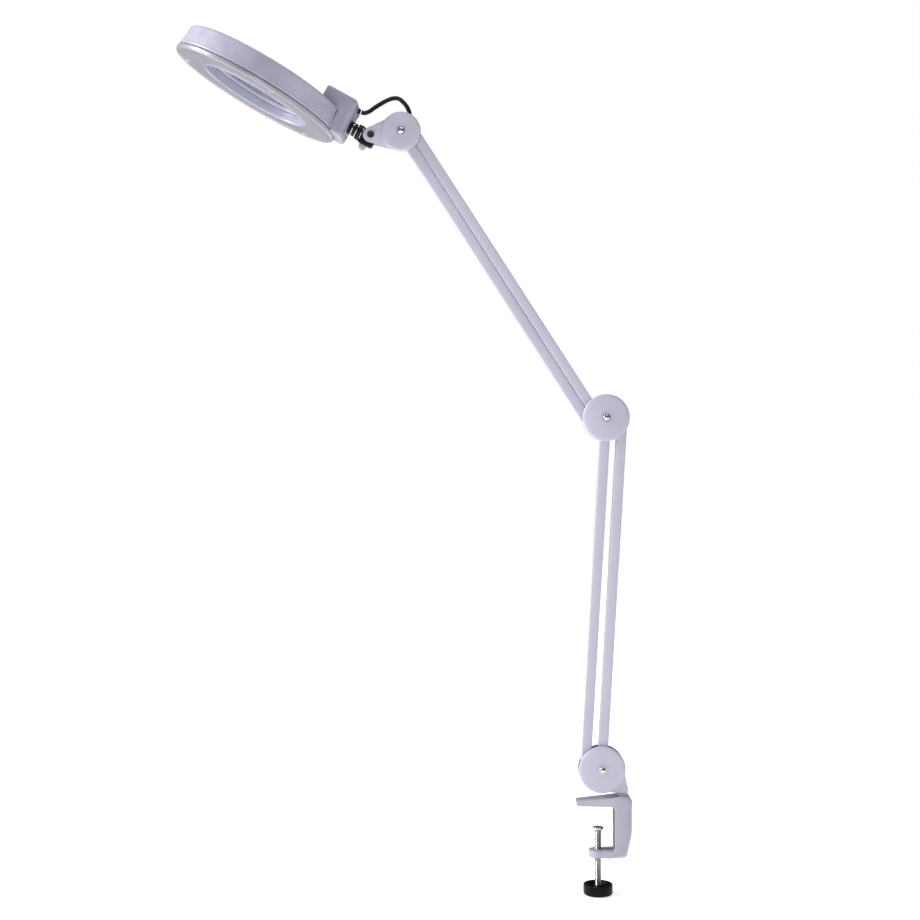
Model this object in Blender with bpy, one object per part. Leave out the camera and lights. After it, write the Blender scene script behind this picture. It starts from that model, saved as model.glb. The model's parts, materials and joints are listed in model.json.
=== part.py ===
"""Clamp-on magnifying lamp: a bench clamp, two parallel-bar arms and a ring head with a lens.

Metres, +Z up. The origin is on the underside of the clamp's upper jaw, on the clamp screw's axis.
+X runs from the jaw's tip to the clamp's web, and the arms move in the XZ plane.
"""
import math

import bmesh
import bpy
from mathutils import Vector

MM = 0.001
GAP = 0.3 * MM
WELD = 0.001 * MM

# Bench clamp
JAW_TIP_X = -27.5 * MM
JAW_TIP_THICK = 7.4 * MM
JAW_ROOT_THICK = 11.4 * MM
JAW_SLANT = 4.0 * MM
WEB_INNER_X = 19.7 * MM
WEB_OUTER_X = 41.5 * MM
WEB_FOOT_X = 35.0 * MM
WEB_BREAK_Z = -33.5 * MM
CLAMP_TOP_Z = 12.4 * MM
LOWER_JAW_TOP_Z = -54.4 * MM
LOWER_JAW_THICK = 9.0 * MM
LOWER_JAW_RADIUS = 11.8 * MM
CLAMP_CORNER = 5.0 * MM
CLAMP_FILLET = 2.0 * MM
WEB_HALF_WIDTH = 13.5 * MM
TIP_HALF_WIDTH = 7.5 * MM
POST_X = 30.2 * MM
POST_RADIUS = 6.0 * MM
POST_DEPTH = 44.0 * MM
BUSH_WALL = 1.8 * MM
BUSH_LENGTH = 47.0 * MM

# Clamp screw
SCREW_RADIUS = 4.0 * MM
SCREW_NECK_RADIUS = 3.0 * MM
PAD_RADIUS = 6.8 * MM
PAD_TOP_Z = -27.0 * MM
PAD_THICK = 4.2 * MM
PAD_SOCKET_DEPTH = 2.6 * MM
KNOB_RADIUS = 18.25 * MM
KNOB_TOP_Z = -97.3 * MM
KNOB_HEIGHT = 12.7 * MM
KNOB_RIM = 3.0 * MM
KNOB_DISH = 4.0 * MM
KNOB_HUB_RADIUS = 7.5 * MM
KNOB_BORE_DEPTH = 9.5 * MM
KNOB_EDGE = 1.5 * MM

# Layers across the arms, as distances from the arms' middle plane
BAR_HALF_DEPTH = 4.5 * MM
PLATE_INNER = BAR_HALF_DEPTH + GAP
PLATE_THICK = 1.5 * MM
PLATE_OUTER = PLATE_INNER + PLATE_THICK
COVER_INNER = PLATE_OUTER + GAP
COVER_DEPTH = 4.0 * MM
COVER_OUTER = COVER_INNER + COVER_DEPTH
COVER_WALL = 1.0 * MM
BOLT_SEAT = COVER_OUTER + GAP

# Bars and pivots
BAR_WIDTH = 12.6 * MM
BAR_WALL = 1.2 * MM
BOLT_RADIUS = 3.0 * MM
BOLT_HEAD_RADIUS = 5.3 * MM
BOLT_HEAD_HEIGHT = 4.2 * MM
PIN_RADIUS = 2.5 * MM
PIN_HEAD_RADIUS = 3.4 * MM
PIN_HEAD_HEIGHT = 1.0 * MM
OPEN_PIVOT_PLAY = 0.7 * MM
SPRING_RADIUS = 3.0 * MM
SPRING_BORE = 2.1 * MM

BASE_BOLT = Vector((4.6, 0.0, 45.2)) * MM
LOWER_SPACING = Vector((20.3, 0.0, 0.0)) * MM
LOWER_LENGTH = 435.7 * MM
LOWER_LEAN = math.radians(3.33)
ELBOW_STEP = Vector((-24.2, 0.0, -2.2)) * MM
UPPER_SPACING = Vector((5.6, 0.0, 16.0)) * MM
UPPER_LENGTH = 423.3 * MM
UPPER_LEAN = math.radians(-32.82)
TILT_STEP = Vector((-37.5, 0.0, -3.7)) * MM

LARGE_COVER_RADIUS = 29.0 * MM
SMALL_COVER_RADIUS = 24.5 * MM
REAR_SMALL_COVER_RADIUS = 22.0 * MM
COVER_BEVEL = 3.0 * MM
BASE_PLATE_RADIUS = 27.0 * MM
ELBOW_PLATE_RADIUS = 28.4 * MM
YOKE_DISC_RADIUS = 22.0 * MM
YOKE_END_RADIUS = 9.5 * MM
FOOT_BOTTOM_Z = 15.4 * MM
FOOT_BLOCK_TOP_Z = 25.0 * MM
FOOT_INNER_X = 22.5 * MM
FOOT_CORNER = 3.5 * MM
FOOT_CORNER_X = 33.2 * MM

# Tilt and swivel joint of the head, measured from the tilt pivot
HEAD_TILT = math.radians(29.0)
SWIVEL_DROP = 3.7 * MM
TONGUE_BACK = 8.0 * MM
TONGUE_TOP = 5.0 * MM
TONGUE_BOTTOM = 14.4 * MM
TONGUE_FRONT = 12.0 * MM
TONGUE_CORNER = 2.5 * MM
BOSS_BACK = -10.9 * MM
BOSS_FRONT = -16.6 * MM
BOSS_RADIUS = 9.6 * MM
TILT_BOLT_RADIUS = 2.8 * MM
TILT_HEAD_RADIUS = 4.3 * MM
TILT_HEAD_HEIGHT = 2.0 * MM
SPINDLE_RADIUS = 3.0 * MM
SPINDLE_SLEEVE_RADIUS = 8.0 * MM
SPINDLE_TIP = -7.6 * MM
WASHER_THICK = 1.0 * MM
THUMB_OFFSET = -3.0 * MM
THUMB_RADIUS = 4.5 * MM
THUMB_HEIGHT = 7.4 * MM
THUMB_EDGE = 0.8 * MM
THUMB_GRIP_SHARE = 0.55
THUMB_STEM_RADIUS = 1.7 * MM
THUMB_STEM_TOP = -7.4 * MM

# Ring head, measured from the middle of the diffuser's outer plane
RING_CENTRE = Vector((-149.6, 0.0, -23.8)) * MM
RING_RADIUS = 110.0 * MM
DRUM_FOOT_RADIUS = 109.4 * MM
DRUM_TOP_RADIUS = 106.4 * MM
DRUM_TOP = 33.5 * MM
DRUM_FILLET = 4.0 * MM
DRUM_WALL = 2.2 * MM
INNER_WALL_RADIUS = 66.2 * MM
DIFFUSER_HEIGHT = 6.0 * MM
DIFFUSER_INNER_HEIGHT = 11.5 * MM
DIFFUSER_BORE = 67.5 * MM
DIFFUSER_WALL = 2.0 * MM
LENS_RADIUS = 63.5 * MM
LENS_EDGE = 3.0 * MM
LENS_BULGE = 5.2 * MM
LENS_LEVEL = 18.2 * MM
LENS_SEAT_GAP = 0.7 * MM
LIP_INNER = 61.0 * MM
BOARD_THICK = 1.6 * MM
LED_BOARD_LEVEL = 26.0 * MM
LED_BOARD_INNER = 73.0 * MM
LED_BOARD_OUTER = 102.5 * MM

# Driver box on the ring's arm side
BOX_FRONT = 78.0 * MM
BOX_REAR = 121.0 * MM
BOX_BOTTOM = 4.0 * MM
BOX_TOP = 52.8 * MM
BOX_HALF_WIDTH = 28.5 * MM
BOX_CORNER = 6.0 * MM
BOX_PLAN_CORNER = 9.0 * MM
BOX_WALL = 2.2 * MM
BOX_COVER_THICK = 2.2 * MM
BOX_SCREW_Y = 19.0 * MM
BOX_SCREW_LEVELS = (12.5 * MM, 43.5 * MM)
LEAD_EXIT_LEVEL = 46.6 * MM
BOX_SCREW_SHANK = 1.3 * MM
BOX_SCREW_HEAD = 2.6 * MM
BOX_SCREW_CROWN = 1.4 * MM
BOX_SCREW_LENGTH = 5.0 * MM
GLAND_WALL = 0.9 * MM
GLAND_FLANGE = 0.8 * MM
GLAND_FLANGE_THICK = 1.2 * MM
GLAND_HEIGHT = 3.0 * MM
GLAND_TAIL = 2.0 * MM
SPINDLE_NUT_THICK = 3.5 * MM
SPINDLE_END = 1.0 * MM
ROCKER_HIGH = 2.4 * MM
ROCKER_VALLEY = 1.0 * MM
DRIVER_INSET = 6.0 * MM
DRIVER_OUTSET = 8.0 * MM
DRIVER_HEIGHT = 8.0 * MM
DIFFUSER_EDGE = 1.6 * MM
SWITCH_X = 98.0 * MM
SWITCH_HALF_LENGTH = 10.0 * MM
SWITCH_HALF_WIDTH = 5.5 * MM

# Lead between the box and the head bracket, in world millimetres
LEAD_RADIUS = 2.7 * MM
LEAD_STEP = 12.0 * MM
LEAD_HEAD_ROUTE = [
    (-293.5, 0.0, 859.0), (-289.4, 0.6, 858.1), (-283.4, 3.0, 860.8), (-277.0, 6.0, 866.2),
    (-270.0, 9.0, 871.4), (-262.3, 12.0, 876.5), (-256.2, 14.0, 879.4),
]
LEAD_ARM_ROUTE = [
    (-255.0, 14.3, 879.7), (-251.0, 15.2, 880.1), (-246.8, 15.5, 879.0), (-241.9, 15.6, 875.0),
    (-237.5, 15.6, 869.4), (-234.8, 15.6, 863.6), (-233.4, 15.6, 857.0), (-233.0, 15.6, 847.0),
]
LEAD_SOCKET = Vector((-233.0, 15.6, 846.0)) * MM
CLIP_HALF_WIDTH = 5.2 * MM
CLIP_HEIGHT = 12.0 * MM
CLIP_SOCKET_DEPTH = 7.0 * MM
CLIP_OUTER = 20.0 * MM
CLIP_CORNER = 2.0 * MM

FINE = 40
MEDIUM = 24
SMALL = 14
TINY = 10

AXES = {
    "X": (Vector((1, 0, 0)), Vector((0, 0, 1))),
    "Y": (Vector((0, 1, 0)), Vector((1, 0, 0))),
    "Z": (Vector((0, 0, 1)), Vector((1, 0, 0))),
}

FINISHES = {
    "painted_steel": ((0.60, 0.58, 0.68), 0.35, 0.0),
    "moulded_shell": ((0.55, 0.53, 0.62), 0.40, 0.0),
    "chrome": ((0.75, 0.75, 0.76), 0.12, 1.0),
    "zinc_steel": ((0.45, 0.45, 0.46), 0.35, 1.0),
    "black_plastic": ((0.015, 0.015, 0.016), 0.45, 0.0),
    "pale_plastic": ((0.62, 0.56, 0.57), 0.45, 0.0),
    "lead_rubber": ((0.012, 0.012, 0.014), 0.5, 0.0),
    "frosted_diffuser": ((0.62, 0.62, 0.70), 0.3, 0.0),
    "lens_glass": ((0.75, 0.78, 0.85), 0.03, 0.0),
    "circuit_board": ((0.02, 0.16, 0.08), 0.5, 0.0),
}


def clear_scene():
    """Remove whatever objects the file was opened with."""
    for item in list(bpy.data.objects):
        bpy.data.objects.remove(item, do_unlink=True)


def finish(name):
    """Return the named Principled material, making it the first time it is asked for."""
    found = bpy.data.materials.get(name)
    if found:
        return found
    colour, roughness, metallic = FINISHES[name]
    made = bpy.data.materials.new(name)
    made.use_nodes = True
    shader = made.node_tree.nodes["Principled BSDF"]
    shader.inputs["Base Color"].default_value = (*colour, 1.0)
    shader.inputs["Roughness"].default_value = roughness
    shader.inputs["Metallic"].default_value = metallic
    return made


def joint_frame(name, location, parent=None, lean=0.0):
    """An empty on a joint's axis, turned by lean about Y so that its Z runs along the piece."""
    empty = bpy.data.objects.new(name, None)
    bpy.context.collection.objects.link(empty)
    empty.parent = parent
    empty.location = location
    empty.rotation_euler = (0.0, lean, 0.0)
    return empty


def add_object(name, bm, parent, at, material):
    """Turn a bmesh into a linked object with its normals out and its round faces smooth."""
    bmesh.ops.remove_doubles(bm, verts=bm.verts, dist=WELD)
    bmesh.ops.recalc_face_normals(bm, faces=bm.faces)
    mesh = bpy.data.meshes.new(name)
    bm.to_mesh(mesh)
    bm.free()
    mesh.shade_smooth()
    mesh.set_sharp_from_angle(angle=math.radians(35))
    item = bpy.data.objects.new(name, mesh)
    bpy.context.collection.objects.link(item)
    item.parent = parent
    item.location = at
    if material:
        mesh.materials.append(finish(material))
    return item


def turned(name, profile, axis, sides, material, parent, at=(0, 0, 0)):
    """Spin a profile of (radius, distance along the axis) points. A ring's profile is a closed loop."""
    along, out = AXES[axis]
    bm = bmesh.new()
    verts = [bm.verts.new(out * radius + along * height) for radius, height in profile]
    edges = [bm.edges.new(pair) for pair in zip(verts, verts[1:])]
    if profile[0][0] > WELD:
        edges.append(bm.edges.new((verts[-1], verts[0])))
    bmesh.ops.spin(bm, geom=verts + edges, cent=(0, 0, 0), axis=along, angle=math.tau, steps=sides,
                   use_merge=True)
    return add_object(name, bm, parent, at, material)


def prism(name, outline, near, far, material, parent, at=(0, 0, 0), across="Y"):
    """Extrude an outline between two planes: an (x, z) outline along Y, or an (x, y) one along Z."""
    bm = bmesh.new()
    if across == "Y":
        corners = [bm.verts.new((x, near, z)) for x, z in outline]
        sweep = Vector((0, far - near, 0))
    else:
        corners = [bm.verts.new((x, y, near)) for x, y in outline]
        sweep = Vector((0, 0, far - near))
    face = bm.faces.new(corners)
    grown = bmesh.ops.extrude_face_region(bm, geom=[face])
    moved = [part for part in grown["geom"] if isinstance(part, bmesh.types.BMVert)]
    bmesh.ops.translate(bm, verts=moved, vec=sweep)
    return add_object(name, bm, parent, at, material)


def arc(centre, radius, start, end, steps):
    """Points on a circle's arc, with the angles in degrees from the first axis."""
    points = []
    for index in range(steps + 1):
        angle = math.radians(start + (end - start) * index / steps)
        points.append((centre[0] + radius * math.cos(angle), centre[1] + radius * math.sin(angle)))
    return points


def circle(centre, radius, steps):
    """A full circle as an outline."""
    return arc(centre, radius, 0, 360, steps)[:-1]


def rounded_box(low, high, corner, steps=3):
    """A rectangle's outline with its four corners rounded."""
    left, bottom = low[0] + corner, low[1] + corner
    right, top = high[0] - corner, high[1] - corner
    outline = arc((right, top), corner, 0, 90, steps) + arc((left, top), corner, 90, 180, steps)
    outline += arc((left, bottom), corner, 180, 270, steps) + arc((right, bottom), corner, 270, 360, steps)
    return outline


def belt(first, first_radius, second, second_radius, steps):
    """The outline of a belt drawn tight round two circles."""
    run = Vector(second) - Vector(first)
    heading = math.degrees(math.atan2(run.y, run.x))
    open_angle = math.degrees(math.acos((first_radius - second_radius) / run.length))
    back = arc(first, first_radius, heading + open_angle, heading + 360 - open_angle, steps)
    front = arc(second, second_radius, heading - open_angle, heading + open_angle, steps)
    return back + front


def dome(radius, seat, height, steps=4):
    """Profile points of a domed head, from its rim to its crown on the axis."""
    points = []
    for index in range(steps + 1):
        angle = math.pi / 2 * index / steps
        points.append((radius * math.cos(angle), seat + height * math.sin(angle)))
    points[-1] = (0.0, seat + height)
    return points


def hide_tool(tool):
    """Mark a cutter so that it is left out of the finished assembly."""
    tool.hide_render = True
    tool.display_type = "WIRE"


def combine(target, tool, operation="DIFFERENCE"):
    """Cut the tool from the target, join it to it, or keep what they share."""
    hide_tool(tool)
    step = target.modifiers.new(operation.title(), "BOOLEAN")
    step.operation = operation
    step.solver = "EXACT"
    step.object = tool


def drill(target, radius, axis, start, end, at, sides=SMALL):
    """Cut a round hole through the target, from start to end along an axis through at."""
    profile = [(0.0, start), (radius, start), (radius, end), (0.0, end)]
    tool = turned(target.name + "_drill", profile, axis, sides, None, target.parent, at)
    combine(target, tool)


def planar(vector):
    """The (x, z) part of a vector."""
    return (vector.x, vector.z)


# ---------------------------------------------------------------- bench clamp

def make_clamp_frame(root):
    """A cast C: a tapering upper jaw, a solid web with the post's bore, and a jaw for the screw."""
    lower_jaw_bottom = LOWER_JAW_TOP_Z - LOWER_JAW_THICK
    side = [(JAW_TIP_X + JAW_SLANT, 0.0)]
    side += arc((WEB_INNER_X - CLAMP_FILLET, -CLAMP_FILLET), CLAMP_FILLET, 90, 0, 3)
    side += arc((WEB_INNER_X - CLAMP_FILLET, LOWER_JAW_TOP_Z + CLAMP_FILLET), CLAMP_FILLET, 0, -90, 3)
    side += [(0.0, LOWER_JAW_TOP_Z), (0.0, lower_jaw_bottom)]
    side += arc((WEB_FOOT_X - CLAMP_CORNER, lower_jaw_bottom + CLAMP_CORNER), CLAMP_CORNER, -90, 0, 4)
    side += [(WEB_OUTER_X, WEB_BREAK_Z)]
    side += arc((WEB_OUTER_X - CLAMP_CORNER, CLAMP_TOP_Z - CLAMP_CORNER), CLAMP_CORNER, 0, 90, 4)
    side += [(POST_X - 2 * POST_RADIUS, JAW_ROOT_THICK), (JAW_TIP_X, JAW_TIP_THICK)]
    frame = prism("clamp_frame", side, -WEB_HALF_WIDTH, WEB_HALF_WIDTH, "painted_steel", root)

    far_x = WEB_OUTER_X + CLAMP_CORNER
    plan = [(JAW_TIP_X - CLAMP_CORNER, -TIP_HALF_WIDTH), (WEB_INNER_X, -WEB_HALF_WIDTH + GAP),
            (far_x, -WEB_HALF_WIDTH + GAP), (far_x, WEB_HALF_WIDTH - GAP),
            (WEB_INNER_X, WEB_HALF_WIDTH - GAP), (JAW_TIP_X - CLAMP_CORNER, TIP_HALF_WIDTH)]
    taper = prism("clamp_taper", plan, lower_jaw_bottom - CLAMP_CORNER, CLAMP_TOP_Z + CLAMP_CORNER,
                  None, root, across="Z")
    combine(frame, taper, "INTERSECT")

    nose_profile = [(0.0, lower_jaw_bottom - GAP), (LOWER_JAW_RADIUS, lower_jaw_bottom - GAP),
                    (LOWER_JAW_RADIUS, LOWER_JAW_TOP_Z + GAP), (0.0, LOWER_JAW_TOP_Z + GAP)]
    nose = turned("clamp_nose", nose_profile, "Z", MEDIUM, None, root)
    combine(frame, nose, "UNION")
    drill(frame, SCREW_RADIUS + GAP, "Z", 2 * lower_jaw_bottom, LOWER_JAW_TOP_Z / 2, (0, 0, 0))
    bush_radius = POST_RADIUS + GAP + BUSH_WALL
    drill(frame, bush_radius + GAP, "Z", CLAMP_TOP_Z - BUSH_LENGTH - GAP, 2 * CLAMP_TOP_Z,
          (POST_X, 0, 0), MEDIUM)


def make_post_bush(root):
    """The nylon sleeve that the arm's post turns in."""
    bore = POST_RADIUS + GAP
    top = CLAMP_TOP_Z - GAP
    bottom = CLAMP_TOP_Z - BUSH_LENGTH
    profile = [(bore, bottom), (bore + BUSH_WALL, bottom), (bore + BUSH_WALL, top), (bore, top)]
    turned("post_bush", profile, "Z", MEDIUM, "black_plastic", root, (POST_X, 0, 0))


def make_pressure_pad(frame):
    """The round pad that presses on the bench from below, with a socket for the screw's end."""
    socket = SCREW_NECK_RADIUS + GAP
    bottom = -PAD_THICK
    ceiling = bottom + PAD_SOCKET_DEPTH
    profile = [(0.0, 0.0), (PAD_RADIUS, 0.0), (PAD_RADIUS, bottom / 2), (PAD_RADIUS * 0.75, bottom),
               (socket, bottom), (socket, ceiling), (0.0, ceiling)]
    turned("pressure_pad", profile, "Z", MEDIUM, "chrome", frame)


def make_clamp_screw(frame):
    """The screw: a plain neck in the pad's socket, a shaft, and an end that sits in the knob."""
    pad_bottom = PAD_TOP_Z - PAD_THICK
    tip = pad_bottom + PAD_SOCKET_DEPTH - GAP
    shoulder = pad_bottom - GAP
    end = KNOB_TOP_Z - KNOB_BORE_DEPTH + GAP
    profile = [(0.0, tip), (SCREW_NECK_RADIUS, tip), (SCREW_NECK_RADIUS, shoulder),
               (SCREW_RADIUS, shoulder), (SCREW_RADIUS, end), (0.0, end)]
    turned("clamp_screw", profile, "Z", MEDIUM, "zinc_steel", frame)


def make_clamp_knob(frame):
    """The round knob, dished on top with a raised rim and a hub round the screw."""
    bottom = KNOB_TOP_Z - KNOB_HEIGHT
    dish = KNOB_TOP_Z - KNOB_DISH
    bore = SCREW_RADIUS + GAP
    bore_end = KNOB_TOP_Z - KNOB_BORE_DEPTH
    edge = KNOB_EDGE
    profile = [(0.0, bottom), (KNOB_RADIUS - edge, bottom), (KNOB_RADIUS, bottom + edge),
               (KNOB_RADIUS, KNOB_TOP_Z - edge), (KNOB_RADIUS - edge, KNOB_TOP_Z),
               (KNOB_RADIUS - KNOB_RIM, KNOB_TOP_Z), (KNOB_RADIUS - 2 * KNOB_RIM, dish),
               (KNOB_HUB_RADIUS, dish), (KNOB_HUB_RADIUS - edge, KNOB_TOP_Z - edge),
               (bore, KNOB_TOP_Z - edge), (bore, bore_end), (0.0, bore_end)]
    turned("clamp_knob", profile, "Z", MEDIUM, "black_plastic", frame)


# ---------------------------------------------------------------- shared arm hardware

def make_cover(name, radius, side, frame, at):
    """A shallow dished cover disc; side is -1 for the front one and +1 for the rear one."""
    rim = COVER_INNER
    face = COVER_OUTER
    hole = BOLT_RADIUS + GAP
    levels = [(hole, face), (radius - COVER_BEVEL, face),
              (radius - COVER_BEVEL * 0.3, face - COVER_BEVEL * 0.3), (radius, face - COVER_BEVEL * 0.8),
              (radius, rim), (radius - COVER_WALL, rim),
              (radius - COVER_WALL, face - COVER_BEVEL), (radius - COVER_BEVEL - COVER_WALL, face - COVER_WALL),
              (hole, face - COVER_WALL)]
    profile = [(distance, side * level) for distance, level in levels]
    turned(name, profile, "Y", MEDIUM, "painted_steel", frame, at)


def make_bolt_and_nut(prefix, frame, at):
    """A domed bolt from the front through the whole stack, and a domed nut behind it."""
    shank_end = BOLT_SEAT + BOLT_HEAD_HEIGHT * 0.55
    head = [(radius, -level) for radius, level in dome(BOLT_HEAD_RADIUS, BOLT_SEAT, BOLT_HEAD_HEIGHT)]
    bolt = [(0.0, shank_end), (BOLT_RADIUS, shank_end), (BOLT_RADIUS, -BOLT_SEAT)] + head
    turned(prefix + "_bolt", bolt, "Y", SMALL, "chrome", frame, at)
    bore = BOLT_RADIUS + GAP / 2
    bore_end = shank_end + GAP / 2
    nut = [(0.0, bore_end), (bore, bore_end), (bore, BOLT_SEAT)]
    nut += dome(BOLT_HEAD_RADIUS, BOLT_SEAT, BOLT_HEAD_HEIGHT)
    turned(prefix + "_nut", nut, "Y", SMALL, "chrome", frame, at)


def make_pin(name, frame, at):
    """A pivot pin with a flat head outside each plate."""
    seat = PLATE_OUTER + GAP / 2
    top = seat + PIN_HEAD_HEIGHT
    profile = [(0.0, -top), (PIN_HEAD_RADIUS, -top), (PIN_HEAD_RADIUS, -seat), (PIN_RADIUS, -seat),
               (PIN_RADIUS, seat), (PIN_HEAD_RADIUS, seat), (PIN_HEAD_RADIUS, top), (0.0, top)]
    turned(name, profile, "Y", TINY, "zinc_steel", frame, at)


def make_bar(name, frame, length, foot_hole, head_hole):
    """A flat tube with round ends, open at both ends, and a pivot hole through each end."""
    radius = BAR_WIDTH / 2
    outline = belt((0.0, 0.0), radius, (0.0, length), radius, 8)
    bar = prism(name, outline, -BAR_HALF_DEPTH, BAR_HALF_DEPTH, "painted_steel", frame)
    inside = radius - BAR_WALL
    reach = radius + BAR_WALL
    channel = [(-inside, -reach), (inside, -reach), (inside, length + reach), (-inside, length + reach)]
    depth = BAR_HALF_DEPTH - BAR_WALL
    combine(bar, prism(name + "_channel", channel, -depth, depth, None, frame))
    drill(bar, foot_hole, "Y", -BAR_WIDTH, BAR_WIDTH, (0, 0, 0))
    drill(bar, head_hole, "Y", -BAR_WIDTH, BAR_WIDTH, (0, 0, length))


def make_spring(name, frame, length):
    """The balance spring inside a bar, as a plain sleeve of the coil's size."""
    foot = 3 * BAR_WIDTH
    head = length - 5 * BAR_WIDTH
    profile = [(SPRING_BORE, foot), (SPRING_RADIUS, foot), (SPRING_RADIUS, head), (SPRING_BORE, head)]
    turned(name, profile, "Z", TINY, "zinc_steel", frame)


def make_round_plate(name, outline, side, holes, frame):
    """A pressed plate on one side of the bars, with its pivot holes."""
    near = min(side * PLATE_INNER, side * PLATE_OUTER)
    far = max(side * PLATE_INNER, side * PLATE_OUTER)
    plate = prism(name, outline, near, far, "painted_steel", frame)
    for centre, radius in holes:
        drill(plate, radius, "Y", near - PLATE_THICK, far + PLATE_THICK, centre, TINY)


# ---------------------------------------------------------------- base of the arm

def make_base_bracket(frame, offset):
    """A folded bracket: two cheeks that hold the lower pivots, and a foot block on the post."""
    bolt = planar(BASE_BOLT - offset)
    foot = (FOOT_CORNER_X - offset.x, FOOT_BOTTOM_Z + FOOT_CORNER - offset.z)
    outline = belt(bolt, BASE_PLATE_RADIUS, foot, FOOT_CORNER, 18)
    bracket = prism("base_bracket", outline, -PLATE_OUTER, PLATE_OUTER, "painted_steel", frame)
    wide = 2 * LARGE_COVER_RADIUS
    slot = [(-wide, -wide), (FOOT_INNER_X - offset.x, -wide),
            (FOOT_INNER_X - offset.x, FOOT_BLOCK_TOP_Z - offset.z), (wide, FOOT_BLOCK_TOP_Z - offset.z),
            (wide, 2 * wide), (-wide, 2 * wide)]
    combine(bracket, prism("base_slot", slot, -PLATE_INNER, PLATE_INNER, None, frame))
    drill(bracket, POST_RADIUS - BUSH_WALL + GAP, "Z", -wide, 2 * wide, (0, 0, 0), SMALL)
    drill(bracket, BOLT_RADIUS + GAP, "Y", -BAR_WIDTH, BAR_WIDTH, BASE_BOLT - offset)
    drill(bracket, PIN_RADIUS + GAP, "Y", -BAR_WIDTH, BAR_WIDTH, BASE_BOLT - LOWER_SPACING - offset, TINY)


def make_base_post(frame, offset):
    """The post: full size in the clamp, with a stepped end in the bracket's foot."""
    shoulder = FOOT_BOTTOM_Z - GAP - offset.z
    top = FOOT_BLOCK_TOP_Z - 2 * GAP - offset.z
    neck = POST_RADIUS - BUSH_WALL
    bottom = CLAMP_TOP_Z - POST_DEPTH - offset.z
    profile = [(0.0, bottom), (POST_RADIUS, bottom), (POST_RADIUS, shoulder), (neck, shoulder),
               (neck, top), (0.0, top)]
    turned("base_post", profile, "Z", MEDIUM, "painted_steel", frame)


# ---------------------------------------------------------------- head joint

def make_yoke(frame):
    """Two cheeks that carry the tilt pivot, shaped like a belt round the disc and the pivot."""
    outline = belt((0.0, 0.0), YOKE_DISC_RADIUS, planar(TILT_STEP), YOKE_END_RADIUS, 14)
    holes = [((0, 0, 0), BOLT_RADIUS + GAP), (tuple(UPPER_SPACING), PIN_RADIUS + GAP),
             (tuple(TILT_STEP), TILT_BOLT_RADIUS + GAP)]
    make_round_plate("yoke_plate_front", outline, -1, holes, frame)
    make_round_plate("yoke_plate_rear", outline, 1, holes, frame)


def make_tilt_bolt(frame):
    """The bolt that clamps the yoke's cheeks on the swivel block, and its nut."""
    seat = PLATE_OUTER + GAP
    top = seat + TILT_HEAD_HEIGHT
    end = top - GAP
    bolt = [(0.0, -top), (TILT_HEAD_RADIUS, -top), (TILT_HEAD_RADIUS, -seat), (TILT_BOLT_RADIUS, -seat),
            (TILT_BOLT_RADIUS, end), (0.0, end)]
    turned("tilt_bolt", bolt, "Y", SMALL, "black_plastic", frame, TILT_STEP)
    bore = TILT_BOLT_RADIUS + GAP / 2
    nut = [(bore, seat), (TILT_HEAD_RADIUS, seat), (TILT_HEAD_RADIUS, top), (bore, top)]
    turned("tilt_nut", nut, "Y", SMALL, "zinc_steel", frame, TILT_STEP)


def make_lead_clip(frame, head_bolt):
    """The block on the rear cover where the lead goes in from above."""
    centre = LEAD_SOCKET - head_bolt
    low = (centre.x - CLIP_HALF_WIDTH, centre.z - CLIP_HEIGHT)
    high = (centre.x + CLIP_HALF_WIDTH, centre.z + CLIP_SOCKET_DEPTH)
    outline = rounded_box(low, high, CLIP_CORNER)
    clip = prism("lead_clip", outline, BOLT_SEAT, CLIP_OUTER, "black_plastic", frame)
    drill(clip, LEAD_RADIUS + GAP, "Z", 0.0, 2 * CLIP_SOCKET_DEPTH, centre)


def make_swivel_block(frame):
    """The block between the cheeks: a tongue on the tilt bolt and a round boss for the spindle."""
    tongue = rounded_box((-TONGUE_FRONT, -TONGUE_BOTTOM), (TONGUE_BACK, TONGUE_TOP), TONGUE_CORNER)
    block = prism("swivel_block", tongue, -BAR_HALF_DEPTH, BAR_HALF_DEPTH, "black_plastic", frame)
    boss = [(0.0, BOSS_FRONT), (BOSS_RADIUS, BOSS_FRONT), (BOSS_RADIUS, BOSS_BACK), (0.0, BOSS_BACK)]
    axis_at = (0, 0, -SWIVEL_DROP)
    combine(block, turned("swivel_boss", boss, "X", MEDIUM, None, frame, axis_at), "UNION")
    drill(block, TILT_BOLT_RADIUS + GAP, "Y", -BAR_WIDTH, BAR_WIDTH, (0, 0, 0))
    drill(block, SPINDLE_RADIUS + GAP, "X", 2 * BOSS_FRONT, SPINDLE_TIP + GAP, axis_at)
    drill(block, THUMB_STEM_RADIUS + GAP, "Z", -2 * TONGUE_BOTTOM, THUMB_STEM_TOP + GAP,
          (THUMB_OFFSET, 0, 0), TINY)
    bore = SPINDLE_RADIUS + GAP
    near = BOSS_FRONT - GAP
    far = near - WASHER_THICK
    washer = [(bore, near), (BOSS_RADIUS, near), (BOSS_RADIUS, far), (bore, far)]
    turned("swivel_washer", washer, "X", MEDIUM, "chrome", frame, axis_at)


def make_thumb_knob(frame):
    """The small knob under the block that locks the swivel, with its stem."""
    seat = -TONGUE_BOTTOM - GAP
    crown = seat - THUMB_HEIGHT
    shoulder = seat - THUMB_HEIGHT * THUMB_GRIP_SHARE
    profile = [(0.0, THUMB_STEM_TOP), (THUMB_STEM_RADIUS, THUMB_STEM_TOP), (THUMB_STEM_RADIUS, seat),
               (THUMB_RADIUS - THUMB_EDGE, seat), (THUMB_RADIUS, seat - THUMB_EDGE), (THUMB_RADIUS, shoulder),
               (THUMB_RADIUS - 2 * THUMB_EDGE, crown + THUMB_EDGE), (0.0, crown)]
    turned("thumb_knob", profile, "Z", SMALL, "pale_plastic", frame)


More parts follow.
